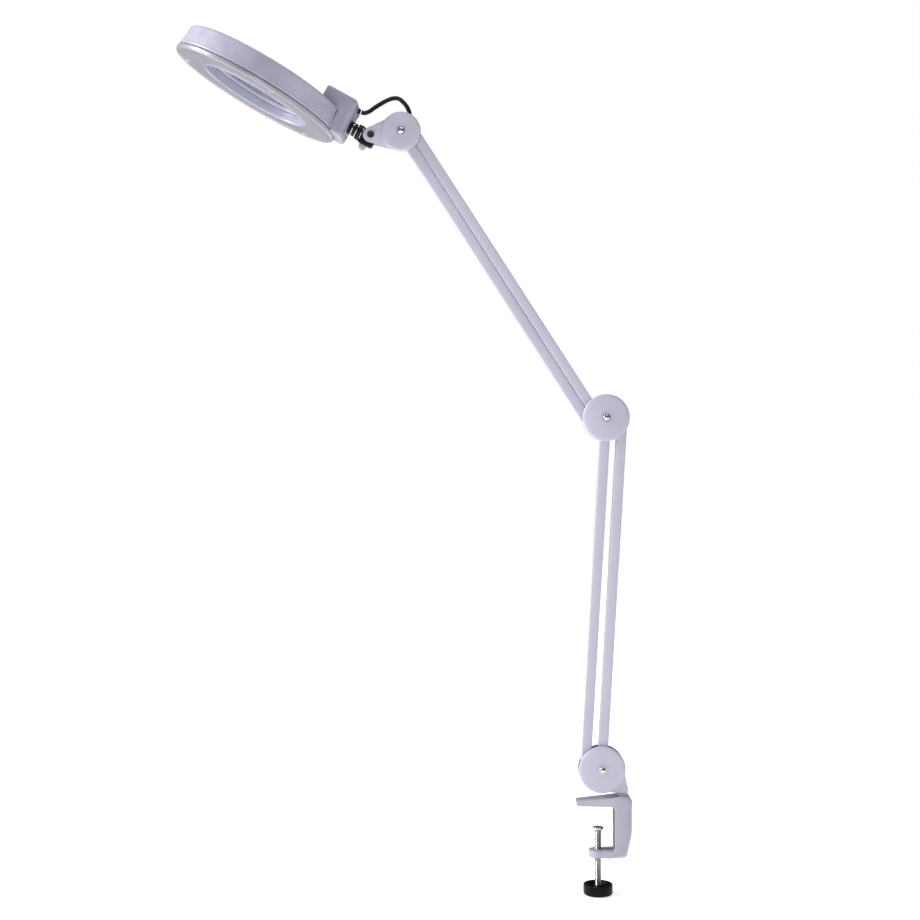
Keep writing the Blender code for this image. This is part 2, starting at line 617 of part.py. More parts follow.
def make_spindle(frame, box_rear):
    """The head's spindle: a sleeve against the box and a stud through the swivel block, with its nut."""
    sleeve_near = BOSS_FRONT - WASHER_THICK - 2 * GAP
    sleeve_far = box_rear + GAP
    nut_seat = box_rear - BOX_COVER_THICK - GAP
    nut_thick = SPINDLE_NUT_THICK
    stud_end = nut_seat - nut_thick - SPINDLE_END
    profile = [(0.0, SPINDLE_TIP), (SPINDLE_RADIUS, SPINDLE_TIP), (SPINDLE_RADIUS, sleeve_near),
               (SPINDLE_SLEEVE_RADIUS, sleeve_near), (SPINDLE_SLEEVE_RADIUS, sleeve_far),
               (SPINDLE_RADIUS, sleeve_far), (SPINDLE_RADIUS, stud_end), (0.0, stud_end)]
    turned("swivel_spindle", profile, "X", MEDIUM, "black_plastic", frame)
    bore = SPINDLE_RADIUS + GAP / 2
    nut = [(bore, nut_seat), (2 * SPINDLE_RADIUS, nut_seat), (2 * SPINDLE_RADIUS, nut_seat - nut_thick),
           (bore, nut_seat - nut_thick)]
    turned("spindle_nut", nut, "X", SMALL, "zinc_steel", frame)


# ---------------------------------------------------------------- ring head

def make_head_housing(ring):
    """The drum, one inverted channel round the lens, with the driver box moulded on its arm side."""
    foot = DIFFUSER_HEIGHT + GAP
    inner_foot = DIFFUSER_INNER_HEIGHT + GAP
    shoulder = DRUM_TOP - DRUM_FILLET
    lip = LENS_LEVEL + LENS_EDGE / 2 + LENS_SEAT_GAP
    profile = [(DRUM_FOOT_RADIUS, foot)]
    profile += arc((DRUM_TOP_RADIUS - DRUM_FILLET, shoulder), DRUM_FILLET, 0, 90, 3)
    profile += arc((INNER_WALL_RADIUS + DRUM_FILLET, shoulder), DRUM_FILLET, 90, 180, 2)
    profile += [(INNER_WALL_RADIUS, lip + DRUM_WALL), (LIP_INNER, lip + DRUM_WALL / 2), (LIP_INNER, lip),
                (INNER_WALL_RADIUS, lip), (INNER_WALL_RADIUS, inner_foot),
                (INNER_WALL_RADIUS + DRUM_WALL, inner_foot),
                (INNER_WALL_RADIUS + DRUM_WALL, DRUM_TOP - DRUM_WALL - DRUM_FILLET / 2),
                (INNER_WALL_RADIUS + DRUM_FILLET, DRUM_TOP - DRUM_WALL),
                (DRUM_TOP_RADIUS - DRUM_FILLET, DRUM_TOP - DRUM_WALL),
                (DRUM_TOP_RADIUS - DRUM_WALL, shoulder - DRUM_WALL / 2), (DRUM_FOOT_RADIUS - DRUM_WALL, foot)]
    housing = turned("head_housing", profile, "Z", FINE, "moulded_shell", ring)

    shell_rear = BOX_REAR - BOX_COVER_THICK - GAP
    side = rounded_box((BOX_FRONT, BOX_BOTTOM), (shell_rear + BOX_CORNER, BOX_TOP), BOX_CORNER)
    box = prism("box_body", side, -BOX_HALF_WIDTH, BOX_HALF_WIDTH, None, ring)
    rear_cut = [(shell_rear, -RING_RADIUS), (2 * RING_RADIUS, -RING_RADIUS), (2 * RING_RADIUS, RING_RADIUS),
                (shell_rear, RING_RADIUS)]
    combine(box, prism("box_rear_cut", rear_cut, -RING_RADIUS, RING_RADIUS, None, ring))
    half_wall = DRUM_WALL / 2
    well = [(0.0, -DRUM_TOP), (RING_RADIUS + GAP, -DRUM_TOP), (RING_RADIUS + GAP, foot),
            (DRUM_FOOT_RADIUS - half_wall, foot), (DRUM_TOP_RADIUS - half_wall, shoulder),
            (DRUM_TOP_RADIUS - DRUM_FILLET, DRUM_TOP - half_wall), (0.0, DRUM_TOP - half_wall)]
    combine(box, turned("box_diffuser_well", well, "Z", FINE, None, ring))
    combine(housing, box, "UNION")

    inside_low = (BOX_FRONT + BOX_WALL, BOX_BOTTOM + BOX_WALL)
    inside_high = (BOX_REAR + BOX_WALL, BOX_TOP - BOX_WALL)
    half = BOX_HALF_WIDTH - BOX_WALL
    hollow_side = rounded_box(inside_low, inside_high, BOX_CORNER - BOX_WALL)
    hollow = prism("box_hollow", hollow_side, -half, half, None, ring)
    floor_top = foot + BOX_WALL
    keep = [(0.0, -DRUM_TOP), (RING_RADIUS + GAP + BOX_WALL, -DRUM_TOP),
            (RING_RADIUS + GAP + BOX_WALL, floor_top), (0.0, floor_top)]
    combine(hollow, turned("box_floor_keep", keep, "Z", FINE, None, ring))
    combine(housing, hollow)
    slot_low = (SWITCH_X - SWITCH_HALF_LENGTH - GAP, -SWITCH_HALF_WIDTH - GAP)
    slot_high = (SWITCH_X + SWITCH_HALF_LENGTH + GAP, SWITCH_HALF_WIDTH + GAP)
    slot = [slot_low, (slot_high[0], slot_low[1]), slot_high, (slot_low[0], slot_high[1])]
    slot_bottom = BOX_TOP - 2 * BOX_WALL
    combine(housing, prism("switch_slot", slot, slot_bottom, BOX_TOP + BOX_WALL, None, ring, across="Z"))


def box_rear_holes():
    """The rear plate's screw places, as (y, level) pairs."""
    return [(side * BOX_SCREW_Y, level) for side in (-1, 1) for level in BOX_SCREW_LEVELS]


def make_box_cover(ring):
    """The box's rear plate, which carries the spindle, with four screws and the lead's gland."""
    low = (-BOX_HALF_WIDTH, BOX_BOTTOM)
    high = (BOX_HALF_WIDTH, BOX_TOP)
    outline = [(y, z) for y, z in rounded_box(low, high, BOX_CORNER)]
    bm = bmesh.new()
    front = BOX_REAR - BOX_COVER_THICK
    face = bm.faces.new([bm.verts.new((front, y, z)) for y, z in outline])
    grown = bmesh.ops.extrude_face_region(bm, geom=[face])
    moved = [part for part in grown["geom"] if isinstance(part, bmesh.types.BMVert)]
    bmesh.ops.translate(bm, verts=moved, vec=(BOX_COVER_THICK, 0, 0))
    plate = add_object("box_cover", bm, ring, (0, 0, 0), "moulded_shell")
    swivel_level = -RING_CENTRE.z
    drill(plate, SPINDLE_RADIUS + GAP, "X", front - BOX_WALL, BOX_REAR + BOX_WALL, (0, 0, swivel_level))
    gland_hole = LEAD_RADIUS + GAP + GLAND_WALL + GAP
    drill(plate, gland_hole, "X", front - BOX_WALL, BOX_REAR + BOX_WALL, (0, 0, LEAD_EXIT_LEVEL))
    head = BOX_SCREW_HEAD
    shank = BOX_SCREW_SHANK
    for number, (y, level) in enumerate(box_rear_holes(), start=1):
        drill(plate, shank + GAP, "X", front - BOX_WALL, BOX_REAR + BOX_WALL, (0, y, level), TINY)
        top = BOX_REAR + GAP / 2
        end = front - BOX_SCREW_LENGTH
        screw = [(0.0, top + BOX_SCREW_CROWN), (head / 2, top + BOX_SCREW_CROWN), (head, top), (shank, top),
                 (shank, end), (0.0, end)]
        turned(f"box_screw_{number}", screw, "X", TINY, "zinc_steel", ring, (0, y, level))
    bore = LEAD_RADIUS + GAP
    outer = bore + GLAND_WALL
    flange = outer + GLAND_FLANGE
    start = BOX_REAR + GAP / 2
    tail = front - GLAND_TAIL
    gland = [(bore, tail), (outer, tail), (outer, start), (flange, start), (flange, start + GLAND_FLANGE_THICK),
             (outer, start + GLAND_HEIGHT), (bore, start + GLAND_HEIGHT)]
    turned("lead_gland", gland, "X", SMALL, "black_plastic", ring, (0, 0, LEAD_EXIT_LEVEL))


def make_diffuser(ring):
    """The frosted ring cover under the lamps: a face, a low outer rim and a taller inner rim."""
    edge = DIFFUSER_EDGE
    inner = DIFFUSER_BORE
    wall = DIFFUSER_WALL
    profile = [(inner, edge), (inner + edge, 0.0), (RING_RADIUS - 2 * edge, 0.0), (RING_RADIUS, 2 * edge),
               (RING_RADIUS, DIFFUSER_HEIGHT), (RING_RADIUS - wall, DIFFUSER_HEIGHT),
               (RING_RADIUS - wall, 2 * edge), (RING_RADIUS - 2 * edge - wall / 2, wall), (inner + wall, wall),
               (inner + wall, DIFFUSER_INNER_HEIGHT), (inner, DIFFUSER_INNER_HEIGHT)]
    turned("diffuser", profile, "Z", FINE, "frosted_diffuser", ring)


def make_lens(ring):
    """A biconvex lens, and the ring that holds it up against the housing's lip."""
    low = LENS_LEVEL - LENS_EDGE / 2
    high = LENS_LEVEL + LENS_EDGE / 2
    steps = 5
    bulge = []
    for index in range(steps + 1):
        share = index / steps
        bulge.append((LENS_RADIUS * share, LENS_BULGE * (1 - share * share)))
    profile = [(radius, high + height) for radius, height in bulge]
    profile += [(radius, low - height) for radius, height in reversed(bulge)]
    turned("lens", profile, "Z", FINE, "lens_glass", ring)
    ring_low = DIFFUSER_INNER_HEIGHT + GAP
    outer = INNER_WALL_RADIUS - GAP
    ring_high = low - LENS_SEAT_GAP
    holder = [(LIP_INNER, ring_low), (outer, ring_low), (outer, ring_high), (LIP_INNER, ring_high)]
    turned("lens_ring", holder, "Z", FINE, "moulded_shell", ring)


def make_boards(ring):
    """The ring board that carries the lamps, and the driver's board in the box."""
    high = LED_BOARD_LEVEL + BOARD_THICK
    profile = [(LED_BOARD_INNER, LED_BOARD_LEVEL), (LED_BOARD_OUTER, LED_BOARD_LEVEL),
               (LED_BOARD_OUTER, high), (LED_BOARD_INNER, high)]
    turned("led_board", profile, "Z", FINE, "circuit_board", ring)
    left = BOX_FRONT + 2 * BOX_WALL
    right = BOX_REAR - 5 * BOX_WALL
    level = DRUM_TOP + BOX_WALL
    block_left = left + DRIVER_INSET
    block_right = right - DRIVER_OUTSET
    block_top = level + DRIVER_HEIGHT
    outline = [(left, level), (right, level), (right, level + BOARD_THICK), (block_right, level + BOARD_THICK),
               (block_right, block_top), (block_left, block_top), (block_left, level + BOARD_THICK),
               (left, level + BOARD_THICK)]
    half = BOX_HALF_WIDTH - 3 * BOX_WALL
    prism("driver_board", outline, -half, half, "circuit_board", ring)


def make_switch(frame):
    """A rocker with its two faces meeting in a shallow valley."""
    half = SWITCH_HALF_LENGTH
    outline = [(-half, -BOX_WALL), (half, -BOX_WALL), (half, ROCKER_HIGH), (0.0, ROCKER_VALLEY),
               (-half, ROCKER_HIGH)]
    prism("rocker_switch", outline, -SWITCH_HALF_WIDTH, SWITCH_HALF_WIDTH, "black_plastic", frame)


# ---------------------------------------------------------------- lead

def smooth_route(route, step):
    """Points about a step apart on a Catmull-Rom curve through the route's points."""
    points = [Vector(point) * MM for point in route]
    ends = [points[0] * 2 - points[1]] + points + [points[-1] * 2 - points[-2]]
    smooth = [points[0]]
    for index in range(1, len(ends) - 2):
        before, start, end, after = ends[index - 1:index + 3]
        pieces = max(1, round((end - start).length / step))
        for piece in range(1, pieces + 1):
            t = piece / pieces
            smooth.append(0.5 * (2 * start + (end - before) * t
                                 + (2 * before - 5 * start + 4 * end - after) * t * t
                                 + (3 * start - before - 3 * end + after) * t * t * t))
    return smooth


def make_lead(name, route, frame, origin):
    """One stretch of the lead, as a round tube with flat ends."""
    data = bpy.data.curves.new(name, "CURVE")
    data.dimensions = "3D"
    points = smooth_route(route, LEAD_STEP)
    spline = data.splines.new("POLY")
    spline.points.add(len(points) - 1)
    for target, point in zip(spline.points, points):
        target.co = (*(point - origin), 1.0)
    data.bevel_depth = LEAD_RADIUS
    data.bevel_resolution = 2
    data.use_fill_caps = True
    data.materials.append(finish("lead_rubber"))
    item = bpy.data.objects.new(name, data)
    bpy.context.collection.objects.link(item)
    item.parent = frame
    return item


# ---------------------------------------------------------------- assembly

def build_clamp():
    """The clamp, its pad and its screw."""
    root = joint_frame("clamp_origin", (0, 0, 0))
    make_clamp_frame(root)
    make_post_bush(root)
    pad_frame = joint_frame("pad_slide_axis", (0, 0, PAD_TOP_Z), root)
    make_pressure_pad(pad_frame)
    screw_frame = joint_frame("screw_axis", (0, 0, 0), root)
    make_clamp_screw(screw_frame)
    make_clamp_knob(screw_frame)
    return root


def build_base(root):
    """The bracket on its post, with covers, bolt and pin."""
    offset = Vector((POST_X, 0.0, FOOT_BOTTOM_Z))
    frame = joint_frame("base_swivel_axis", offset, root)
    make_base_bracket(frame, offset)
    make_base_post(frame, offset)
    bolt_at = BASE_BOLT - offset
    make_cover("base_cover_front", LARGE_COVER_RADIUS, -1, frame, bolt_at)
    make_cover("base_cover_rear", LARGE_COVER_RADIUS, 1, frame, bolt_at)
    make_bolt_and_nut("base", frame, bolt_at)
    make_pin("base_pin", frame, bolt_at - LOWER_SPACING)


def build_lower_arm(left_foot):
    """The two lower bars, each on its own lower pivot."""
    left = joint_frame("lower_left_axis", left_foot, lean=LOWER_LEAN)
    make_bar("lower_bar_left", left, LOWER_LENGTH, PIN_RADIUS + GAP, BOLT_RADIUS + GAP)
    make_spring("lower_spring_left", left, LOWER_LENGTH)
    right = joint_frame("lower_right_axis", left_foot + LOWER_SPACING, lean=LOWER_LEAN)
    make_bar("lower_bar_right", right, LOWER_LENGTH, BOLT_RADIUS + GAP, PIN_RADIUS + OPEN_PIVOT_PLAY)
    make_spring("lower_spring_right", right, LOWER_LENGTH)


def build_elbow(elbow):
    """The elbow's plates, covers, bolt and three pins."""
    frame = joint_frame("elbow_axis", elbow)
    outline = circle((0.0, 0.0), ELBOW_PLATE_RADIUS, MEDIUM)
    upper_left = ELBOW_STEP
    upper_right = ELBOW_STEP + UPPER_SPACING
    holes = [((0, 0, 0), BOLT_RADIUS + GAP)]
    holes += [(tuple(spot), PIN_RADIUS + GAP) for spot in (LOWER_SPACING, upper_left, upper_right)]
    make_round_plate("elbow_plate_front", outline, -1, holes, frame)
    make_round_plate("elbow_plate_rear", outline, 1, holes, frame)
    make_cover("elbow_cover_front", LARGE_COVER_RADIUS, -1, frame, (0, 0, 0))
    make_cover("elbow_cover_rear", LARGE_COVER_RADIUS, 1, frame, (0, 0, 0))
    make_bolt_and_nut("elbow", frame, (0, 0, 0))
    make_pin("elbow_pin_lower", frame, LOWER_SPACING)
    make_pin("elbow_pin_upper_left", frame, upper_left)
    make_pin("elbow_pin_upper_right", frame, upper_right)


def build_upper_arm(left_foot):
    """The two upper bars, each on its own lower pivot."""
    left = joint_frame("upper_left_axis", left_foot, lean=UPPER_LEAN)
    make_bar("upper_bar_left", left, UPPER_LENGTH, PIN_RADIUS + GAP, BOLT_RADIUS + GAP)
    make_spring("upper_spring_left", left, UPPER_LENGTH)
    right = joint_frame("upper_right_axis", left_foot + UPPER_SPACING, lean=UPPER_LEAN)
    make_bar("upper_bar_right", right, UPPER_LENGTH, PIN_RADIUS + GAP, PIN_RADIUS + OPEN_PIVOT_PLAY)
    make_spring("upper_spring_right", right, UPPER_LENGTH)


def build_head_bracket(head_bolt):
    """The yoke at the arm's end, with covers, bolts, pin and the lead's clip."""
    frame = joint_frame("head_bracket_axis", head_bolt)
    make_yoke(frame)
    make_cover("head_cover_front", SMALL_COVER_RADIUS, -1, frame, (0, 0, 0))
    make_cover("head_cover_rear", REAR_SMALL_COVER_RADIUS, 1, frame, (0, 0, 0))
    make_bolt_and_nut("head", frame, (0, 0, 0))
    make_pin("head_pin", frame, UPPER_SPACING)
    make_tilt_bolt(frame)
    make_lead_clip(frame, head_bolt)
    make_lead("lead_arm_side", LEAD_ARM_ROUTE, frame, head_bolt)


def build_head(tilt):
    """The swivel block, and the ring head on its spindle."""
    block = joint_frame("tilt_axis", tilt, lean=HEAD_TILT)
    make_swivel_block(block)
    thumb = joint_frame("thumb_axis", (THUMB_OFFSET, 0, 0), block)
    make_thumb_knob(thumb)
    spindle = joint_frame("swivel_axis", (0, 0, -SWIVEL_DROP), block)
    make_spindle(spindle, RING_CENTRE.x + BOX_REAR)
    ring = joint_frame("ring_centre", RING_CENTRE, spindle)
    make_head_housing(ring)
    make_box_cover(ring)
    make_diffuser(ring)
    make_lens(ring)
    make_boards(ring)
    switch = joint_frame("switch_axis", (SWITCH_X, 0, BOX_TOP), ring)
    make_switch(switch)
    swivel_point = tilt - direction(HEAD_TILT) * SWIVEL_DROP
    lead_frame = joint_frame("lead_swivel_frame", swivel_point)
    make_lead("lead_head_side", LEAD_HEAD_ROUTE, lead_frame, swivel_point)


def direction(lean):
    """The unit vector that leans from +Z towards +X."""
    return Vector((math.sin(lean), 0.0, math.cos(lean)))


def main():
    """Build every sub-part from the clamp up to the head."""
    clear_scene()
    root = build_clamp()
    build_base(root)
    lower_foot = BASE_BOLT - LOWER_SPACING
    build_lower_arm(lower_foot)
    elbow = lower_foot + direction(LOWER_LEAN) * LOWER_LENGTH
    build_elbow(elbow)
    upper_foot = elbow + ELBOW_STEP
    build_upper_arm(upper_foot)
    head_bolt = upper_foot + direction(UPPER_LEAN) * UPPER_LENGTH
    build_head_bracket(head_bolt)
    build_head(head_bolt + TILT_STEP)
    print("base bolt", BASE_BOLT, "elbow", elbow, "upper foot", upper_foot, "head bolt", head_bolt)


main()
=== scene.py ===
# %% [markdown]
# # A clamp-on magnifying lamp
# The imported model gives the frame: where every pivot is, and which body each piece rides on. This
# lesson makes the surfaces over that frame, one finish and one piece at a time. We load it first.

# %% Load the frame
import json
import math

import bmesh
import bpy
import numpy as np
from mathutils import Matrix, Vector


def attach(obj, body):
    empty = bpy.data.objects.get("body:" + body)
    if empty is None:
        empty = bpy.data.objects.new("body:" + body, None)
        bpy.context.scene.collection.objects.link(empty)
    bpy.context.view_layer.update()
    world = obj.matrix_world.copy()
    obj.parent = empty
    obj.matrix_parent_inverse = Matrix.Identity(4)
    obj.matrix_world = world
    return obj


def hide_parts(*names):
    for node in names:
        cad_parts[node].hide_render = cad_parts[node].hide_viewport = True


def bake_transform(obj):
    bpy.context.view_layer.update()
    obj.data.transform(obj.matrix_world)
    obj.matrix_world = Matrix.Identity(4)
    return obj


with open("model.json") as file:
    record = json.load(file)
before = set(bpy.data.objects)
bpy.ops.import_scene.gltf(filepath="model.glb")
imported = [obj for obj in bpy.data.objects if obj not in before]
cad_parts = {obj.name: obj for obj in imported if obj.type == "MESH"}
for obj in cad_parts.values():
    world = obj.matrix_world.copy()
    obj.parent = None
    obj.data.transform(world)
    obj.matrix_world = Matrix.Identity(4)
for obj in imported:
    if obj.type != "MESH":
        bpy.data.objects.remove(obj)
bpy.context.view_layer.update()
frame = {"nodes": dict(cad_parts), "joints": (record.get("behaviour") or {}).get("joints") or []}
MM = 0.001

# %% [markdown]
# The joints say where the lamp turns, so every piece can be placed from them. The head has its own
# axes: `ALONG` runs from the ring towards the arm and `UP` points out of the ring's top.

# %% Pivots and axes
JOINTS = {joint["name"]: joint for joint in frame["joints"]}


def pivot(name):
    """A hinge's point in the row frame."""
    return np.array(JOINTS[name]["pos_m"], float)


X = np.array([1.0, 0.0, 0.0])
Y = np.array([0.0, 1.0, 0.0])
Z = np.array([0.0, 0.0, 1.0])
BASE_LEFT = pivot("lower_arm")
BASE = pivot("lower_arm_right")
ELBOW = pivot("elbow_level")
UPPER_LEFT = pivot("upper_arm")
UPPER_RIGHT = pivot("upper_arm_right")
HEAD = pivot("head_level")
TILT = pivot("head_tilt")
SWIVEL = pivot("head_swivel")
ALONG = np.array(JOINTS["head_swivel"]["axis"], float)
UP = np.array(JOINTS["thumb_turn"]["axis"], float)
RING_BACK = 149.6 * MM
RING_DROP = 23.8 * MM
RING = SWIVEL - RING_BACK * ALONG - RING_DROP * UP
print("elbow", ELBOW.round(4), "head bolt", HEAD.round(4), "ring centre", RING.round(4))

# %% [markdown]
# ## The camera
# A tall lamp is best seen level, from nearly two metres away. A camera that looks straight along +Y
# keeps the arms' plane square to the view, so lengths there stay true.

# %% Camera
VIEW_WIDTH = 1140.8 * MM
VIEW_DISTANCE = 1800 * MM
VIEW_CENTRE = np.array([-171.1, 0.0, 427.8]) * MM
lens_data = bpy.data.cameras.new("camera")
lens_data.lens = lens_data.sensor_width * VIEW_DISTANCE / VIEW_WIDTH
lens_data.clip_end = 20.0
camera = bpy.data.objects.new("camera", lens_data)
camera.location = VIEW_CENTRE - VIEW_DISTANCE * Y
camera.rotation_euler = (math.pi / 2, 0.0, 0.0)
bpy.context.collection.objects.link(camera)
bpy.context.scene.camera = camera
bpy.context.scene.view_settings.view_transform = "Standard"
print("lens", round(lens_data.lens, 1), "mm")

# %% [markdown]
# ## Helpers for shapes
# Nearly every piece is one of four shapes: a lathe turn, a slab with rounded edges, a tube along a
# path, or a grid bent by a formula. Each helper works out whole arrays of points at once.


# %% Mesh from arrays
def to_object(name, points, faces, smooth_angle=40):
    """Put points and faces into a mesh, weld what meets, and turn the faces outwards."""
    mesh = bpy.data.meshes.new(name)
    mesh.from_pydata(points.tolist(), [], faces)
    bm = bmesh.new()
    bm.from_mesh(mesh)
    bmesh.ops.remove_doubles(bm, verts=bm.verts, dist=1e-7)
    bmesh.ops.recalc_face_normals(bm, faces=bm.faces)
    bm.to_mesh(mesh)
    bm.free()
    mesh.shade_smooth()
    mesh.set_sharp_from_angle(angle=math.radians(smooth_angle))
    item = bpy.data.objects.new(name, mesh)
    bpy.context.collection.objects.link(item)
    return item


def grid_faces(rows, columns, wrap_rows, wrap_columns):
    """Quads between neighbours on a rows by columns grid, joined round where it wraps."""
    i = np.arange(rows if wrap_rows else rows - 1)
    j = np.arange(columns if wrap_columns else columns - 1)
    i, j = np.meshgrid(i, j, indexing="ij")
    below, beside = (i + 1) % rows, (j + 1) % columns
    corners = [i * columns + j, below * columns + j, below * columns + beside, i * columns + beside]
    quads = np.stack(corners, -1)
    return quads.reshape(-1, 4).tolist()


def capped_faces(rows, count):
    """Faces of a stack of closed outlines, with the first and the last outline filled."""
    faces = grid_faces(rows, count, False, True)
    faces.append(list(range(count)))
    faces.append(list(range(count * (rows - 1), count * rows)))
    return faces


# %% [markdown]
# A turned piece is a profile of (radius, height) points carried round an axis. Sharp corners look like
# cut paper, so `soften` swaps each corner for a small arc: it walks back along both edges by the same
# distance and joins the two points with a quadratic curve.


# %% Softened outlines and turned pieces
def soften(points, radius, steps=4, closed=True):
    """Round a polyline's corners: each becomes (1-t)^2 A + 2t(1-t) corner + t^2 B, with A and B
    a radius away, or less where an edge is short."""
    points = np.asarray(points, float)
    radii = np.broadcast_to(np.asarray(radius, float), (len(points),))
    t = np.linspace(0, 1, steps + 1)[:, None]
    parts = []
    for k in range(len(points)):
        if not closed and k in (0, len(points) - 1) or radii[k] == 0:
            parts.append(points[k][None])
            continue
        before, here, after = points[k - 1], points[k], points[(k + 1) % len(points)]
        back, ahead = before - here, after - here
        reach = min(radii[k], 0.48 * np.linalg.norm(back), 0.48 * np.linalg.norm(ahead))
        start = here + back / np.linalg.norm(back) * reach
        end = here + ahead / np.linalg.norm(ahead) * reach
        parts.append((1 - t) ** 2 * start + 2 * t * (1 - t) * here + t ** 2 * end)
    return np.concatenate(parts)


def lathe(name, profile, origin, axis, side, steps=96, closed=False):
    """Turn a profile: origin + axis * height + radius * (side cos a + cross sin a)."""
    profile = np.asarray(profile, float)
    cross = np.cross(axis, side)
    angle = np.linspace(0, 2 * np.pi, steps, endpoint=False)
    ring = np.cos(angle)[:, None] * side + np.sin(angle)[:, None] * cross
    points = origin + profile[None, :, 1:2] * axis + profile[None, :, 0:1] * ring[:, None, :]
    faces = grid_faces(steps, len(profile), True, closed)
    return to_object(name, points.reshape(-1, 3), faces)


# %% [markdown]
# A plate is an outline with a rounded edge on both faces. `slab` stacks copies of the outline, each
# pulled in along its own normals by a quarter circle's amount, and closes the two flat faces.


# %% Slabs and tubes
def belt(first, first_radius, second, second_radius, steps=24):
    """The outline of a belt round two circles: two arcs that meet on the shared tangents."""
    run = np.asarray(second, float) - np.asarray(first, float)
    heading = math.atan2(run[1], run[0])
    spread = math.acos((first_radius - second_radius) / math.hypot(*run))
    back = np.linspace(heading + spread, heading + 2 * np.pi - spread, steps)
    front = np.linspace(heading - spread, heading + spread, steps)
    first_arc = np.asarray(first) + first_radius * np.stack([np.cos(back), np.sin(back)], 1)
    second_arc = np.asarray(second) + second_radius * np.stack([np.cos(front), np.sin(front)], 1)
    return np.concatenate([first_arc, second_arc])


def slab(name, outline, near, far, edge, origin, e1, e2, e3, steps=4):
    """Stack an outline from near to far along e3. At depth edge*(1-sin a) it is pulled in by
    edge*(1-cos a), so both rims are quarter circles."""
    outline = np.asarray(outline, float)
    ahead = np.roll(outline, -1, 0) - np.roll(outline, 1, 0)
    normal = np.stack([ahead[:, 1], -ahead[:, 0]], 1)
    normal /= np.linalg.norm(normal, axis=1, keepdims=True)
    following = np.roll(outline, -1, 0)
    area = np.sum(outline[:, 0] * following[:, 1] - outline[:, 1] * following[:, 0])
    normal *= np.sign(area)
    a = np.linspace(0, np.pi / 2, steps + 1)
    depth = np.concatenate([near + edge * (1 - np.cos(a)), far - edge * (1 - np.cos(a[::-1]))])
    inset = np.concatenate([edge * (1 - np.sin(a)), edge * (1 - np.sin(a[::-1]))])
    flat = outline[None] - inset[:, None, None] * normal[None]
    points = origin + flat[..., 0:1] * e1 + flat[..., 1:2] * e2 + depth[:, None, None] * e3
    return to_object(name, points.reshape(-1, 3), capped_faces(len(depth), len(outline)))


def tube_points(path, radius, sides, reference=Y):
    """A circle of the radius round each path point, in the plane across the path's direction."""
    tangent = np.gradient(path, axis=0)
    tangent /= np.linalg.norm(tangent, axis=1, keepdims=True)
    across = np.cross(tangent, reference)
    across /= np.linalg.norm(across, axis=1, keepdims=True)
    other = np.cross(tangent, across)
    a = np.linspace(0, 2 * np.pi, sides, endpoint=False)
    ring = np.cos(a)[None, :, None] * across[:, None] + np.sin(a)[None, :, None] * other[:, None]
    return path[:, None] + radius * ring


def tube(name, path, radius, sides=12, reference=Y):
    """A closed tube along a path, with a flat cap at each end."""
    points = tube_points(path, radius, sides, reference)
    return to_object(name, points.reshape(-1, 3), capped_faces(len(path), sides))


def dress(item, body, material, replaced):
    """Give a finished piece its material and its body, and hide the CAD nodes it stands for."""
    item.data.materials.clear()
    item.data.materials.append(material)
    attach(item, body)
    if replaced:
        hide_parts(*replaced)
    return item


def repaint(nodes, material):
    """Give CAD nodes that are shown as they are a new material."""
    for node in nodes:
        materials = frame["nodes"][node].data.materials
        materials.clear()
        materials.append(material)


# %% [markdown]
# ## Finishes
# Each finish starts from a Principled shader. Powder paint is not smooth: it dries with a fine
# orange-peel skin, so a small noise drives a bump, and a slow one shifts the colour by a few per cent.


# %% Material helpers
def base_material(name, colour, roughness, metallic=0.0, **sockets):
    """A Principled material with its constant values on the shader's own sockets."""
    material = bpy.data.materials.new(name)
    material.use_nodes = True
    shader = material.node_tree.nodes["Principled BSDF"]
    shader.inputs["Base Color"].default_value = (*colour, 1.0)
    shader.inputs["Roughness"].default_value = roughness
    shader.inputs["Metallic"].default_value = metallic
    for socket, value in sockets.items():
        shader.inputs[socket.replace("_", " ")].default_value = value
    return material, material.node_tree, shader


def noise(tree, scale, detail=3.0, stretch=(1, 1, 1)):
    """A noise on object coordinates; scale is in cells per metre."""
    where = tree.nodes.new("ShaderNodeTexCoord")
    mapping = tree.nodes.new("ShaderNodeMapping")
    mapping.inputs["Scale"].default_value = stretch
    made = tree.nodes.new("ShaderNodeTexNoise")
    made.inputs["Scale"].default_value = scale
    made.inputs["Detail"].default_value = detail
    tree.links.new(where.outputs["Object"], mapping.inputs["Vector"])
    tree.links.new(mapping.outputs["Vector"], made.inputs["Vector"])
    return made


def vary(tree, shader, source, socket, low, high, start=0.35, end=0.65):
    """Drive a socket from low to high as a noise goes from start to end."""
    ramp = tree.nodes.new("ShaderNodeMapRange")
    ramp.inputs["From Min"].default_value = start
    ramp.inputs["From Max"].default_value = end
    ramp.inputs["To Min"].default_value = low
    ramp.inputs["To Max"].default_value = high
    tree.links.new(source.outputs[0], ramp.inputs["Value"])
    tree.links.new(ramp.outputs["Result"], shader.inputs[socket])


def tint(tree, shader, source, dark, light, start=0.35, end=0.65):
    """Colour that moves between two close shades with a noise."""
    ramp = tree.nodes.new("ShaderNodeValToRGB")
    ramp.color_ramp.elements[0].position = start
    ramp.color_ramp.elements[0].color = (*dark, 1.0)
    ramp.color_ramp.elements[1].position = end
    ramp.color_ramp.elements[1].color = (*light, 1.0)
    tree.links.new(source.outputs[0], ramp.inputs["Fac"])
    tree.links.new(ramp.outputs["Color"], shader.inputs["Base Color"])


def bump(tree, shader, source, height, strength=1.0):
    """A bump of the given height in metres."""
    node = tree.nodes.new("ShaderNodeBump")
    node.inputs["Distance"].default_value = height
    node.inputs["Strength"].default_value = strength
    tree.links.new(source.outputs[0], node.inputs["Height"])
    tree.links.new(node.outputs["Normal"], shader.inputs["Normal"])


def shade(colour, factor):
    """A colour made lighter or darker."""
    return tuple(min(1.0, channel * factor) for channel in colour)


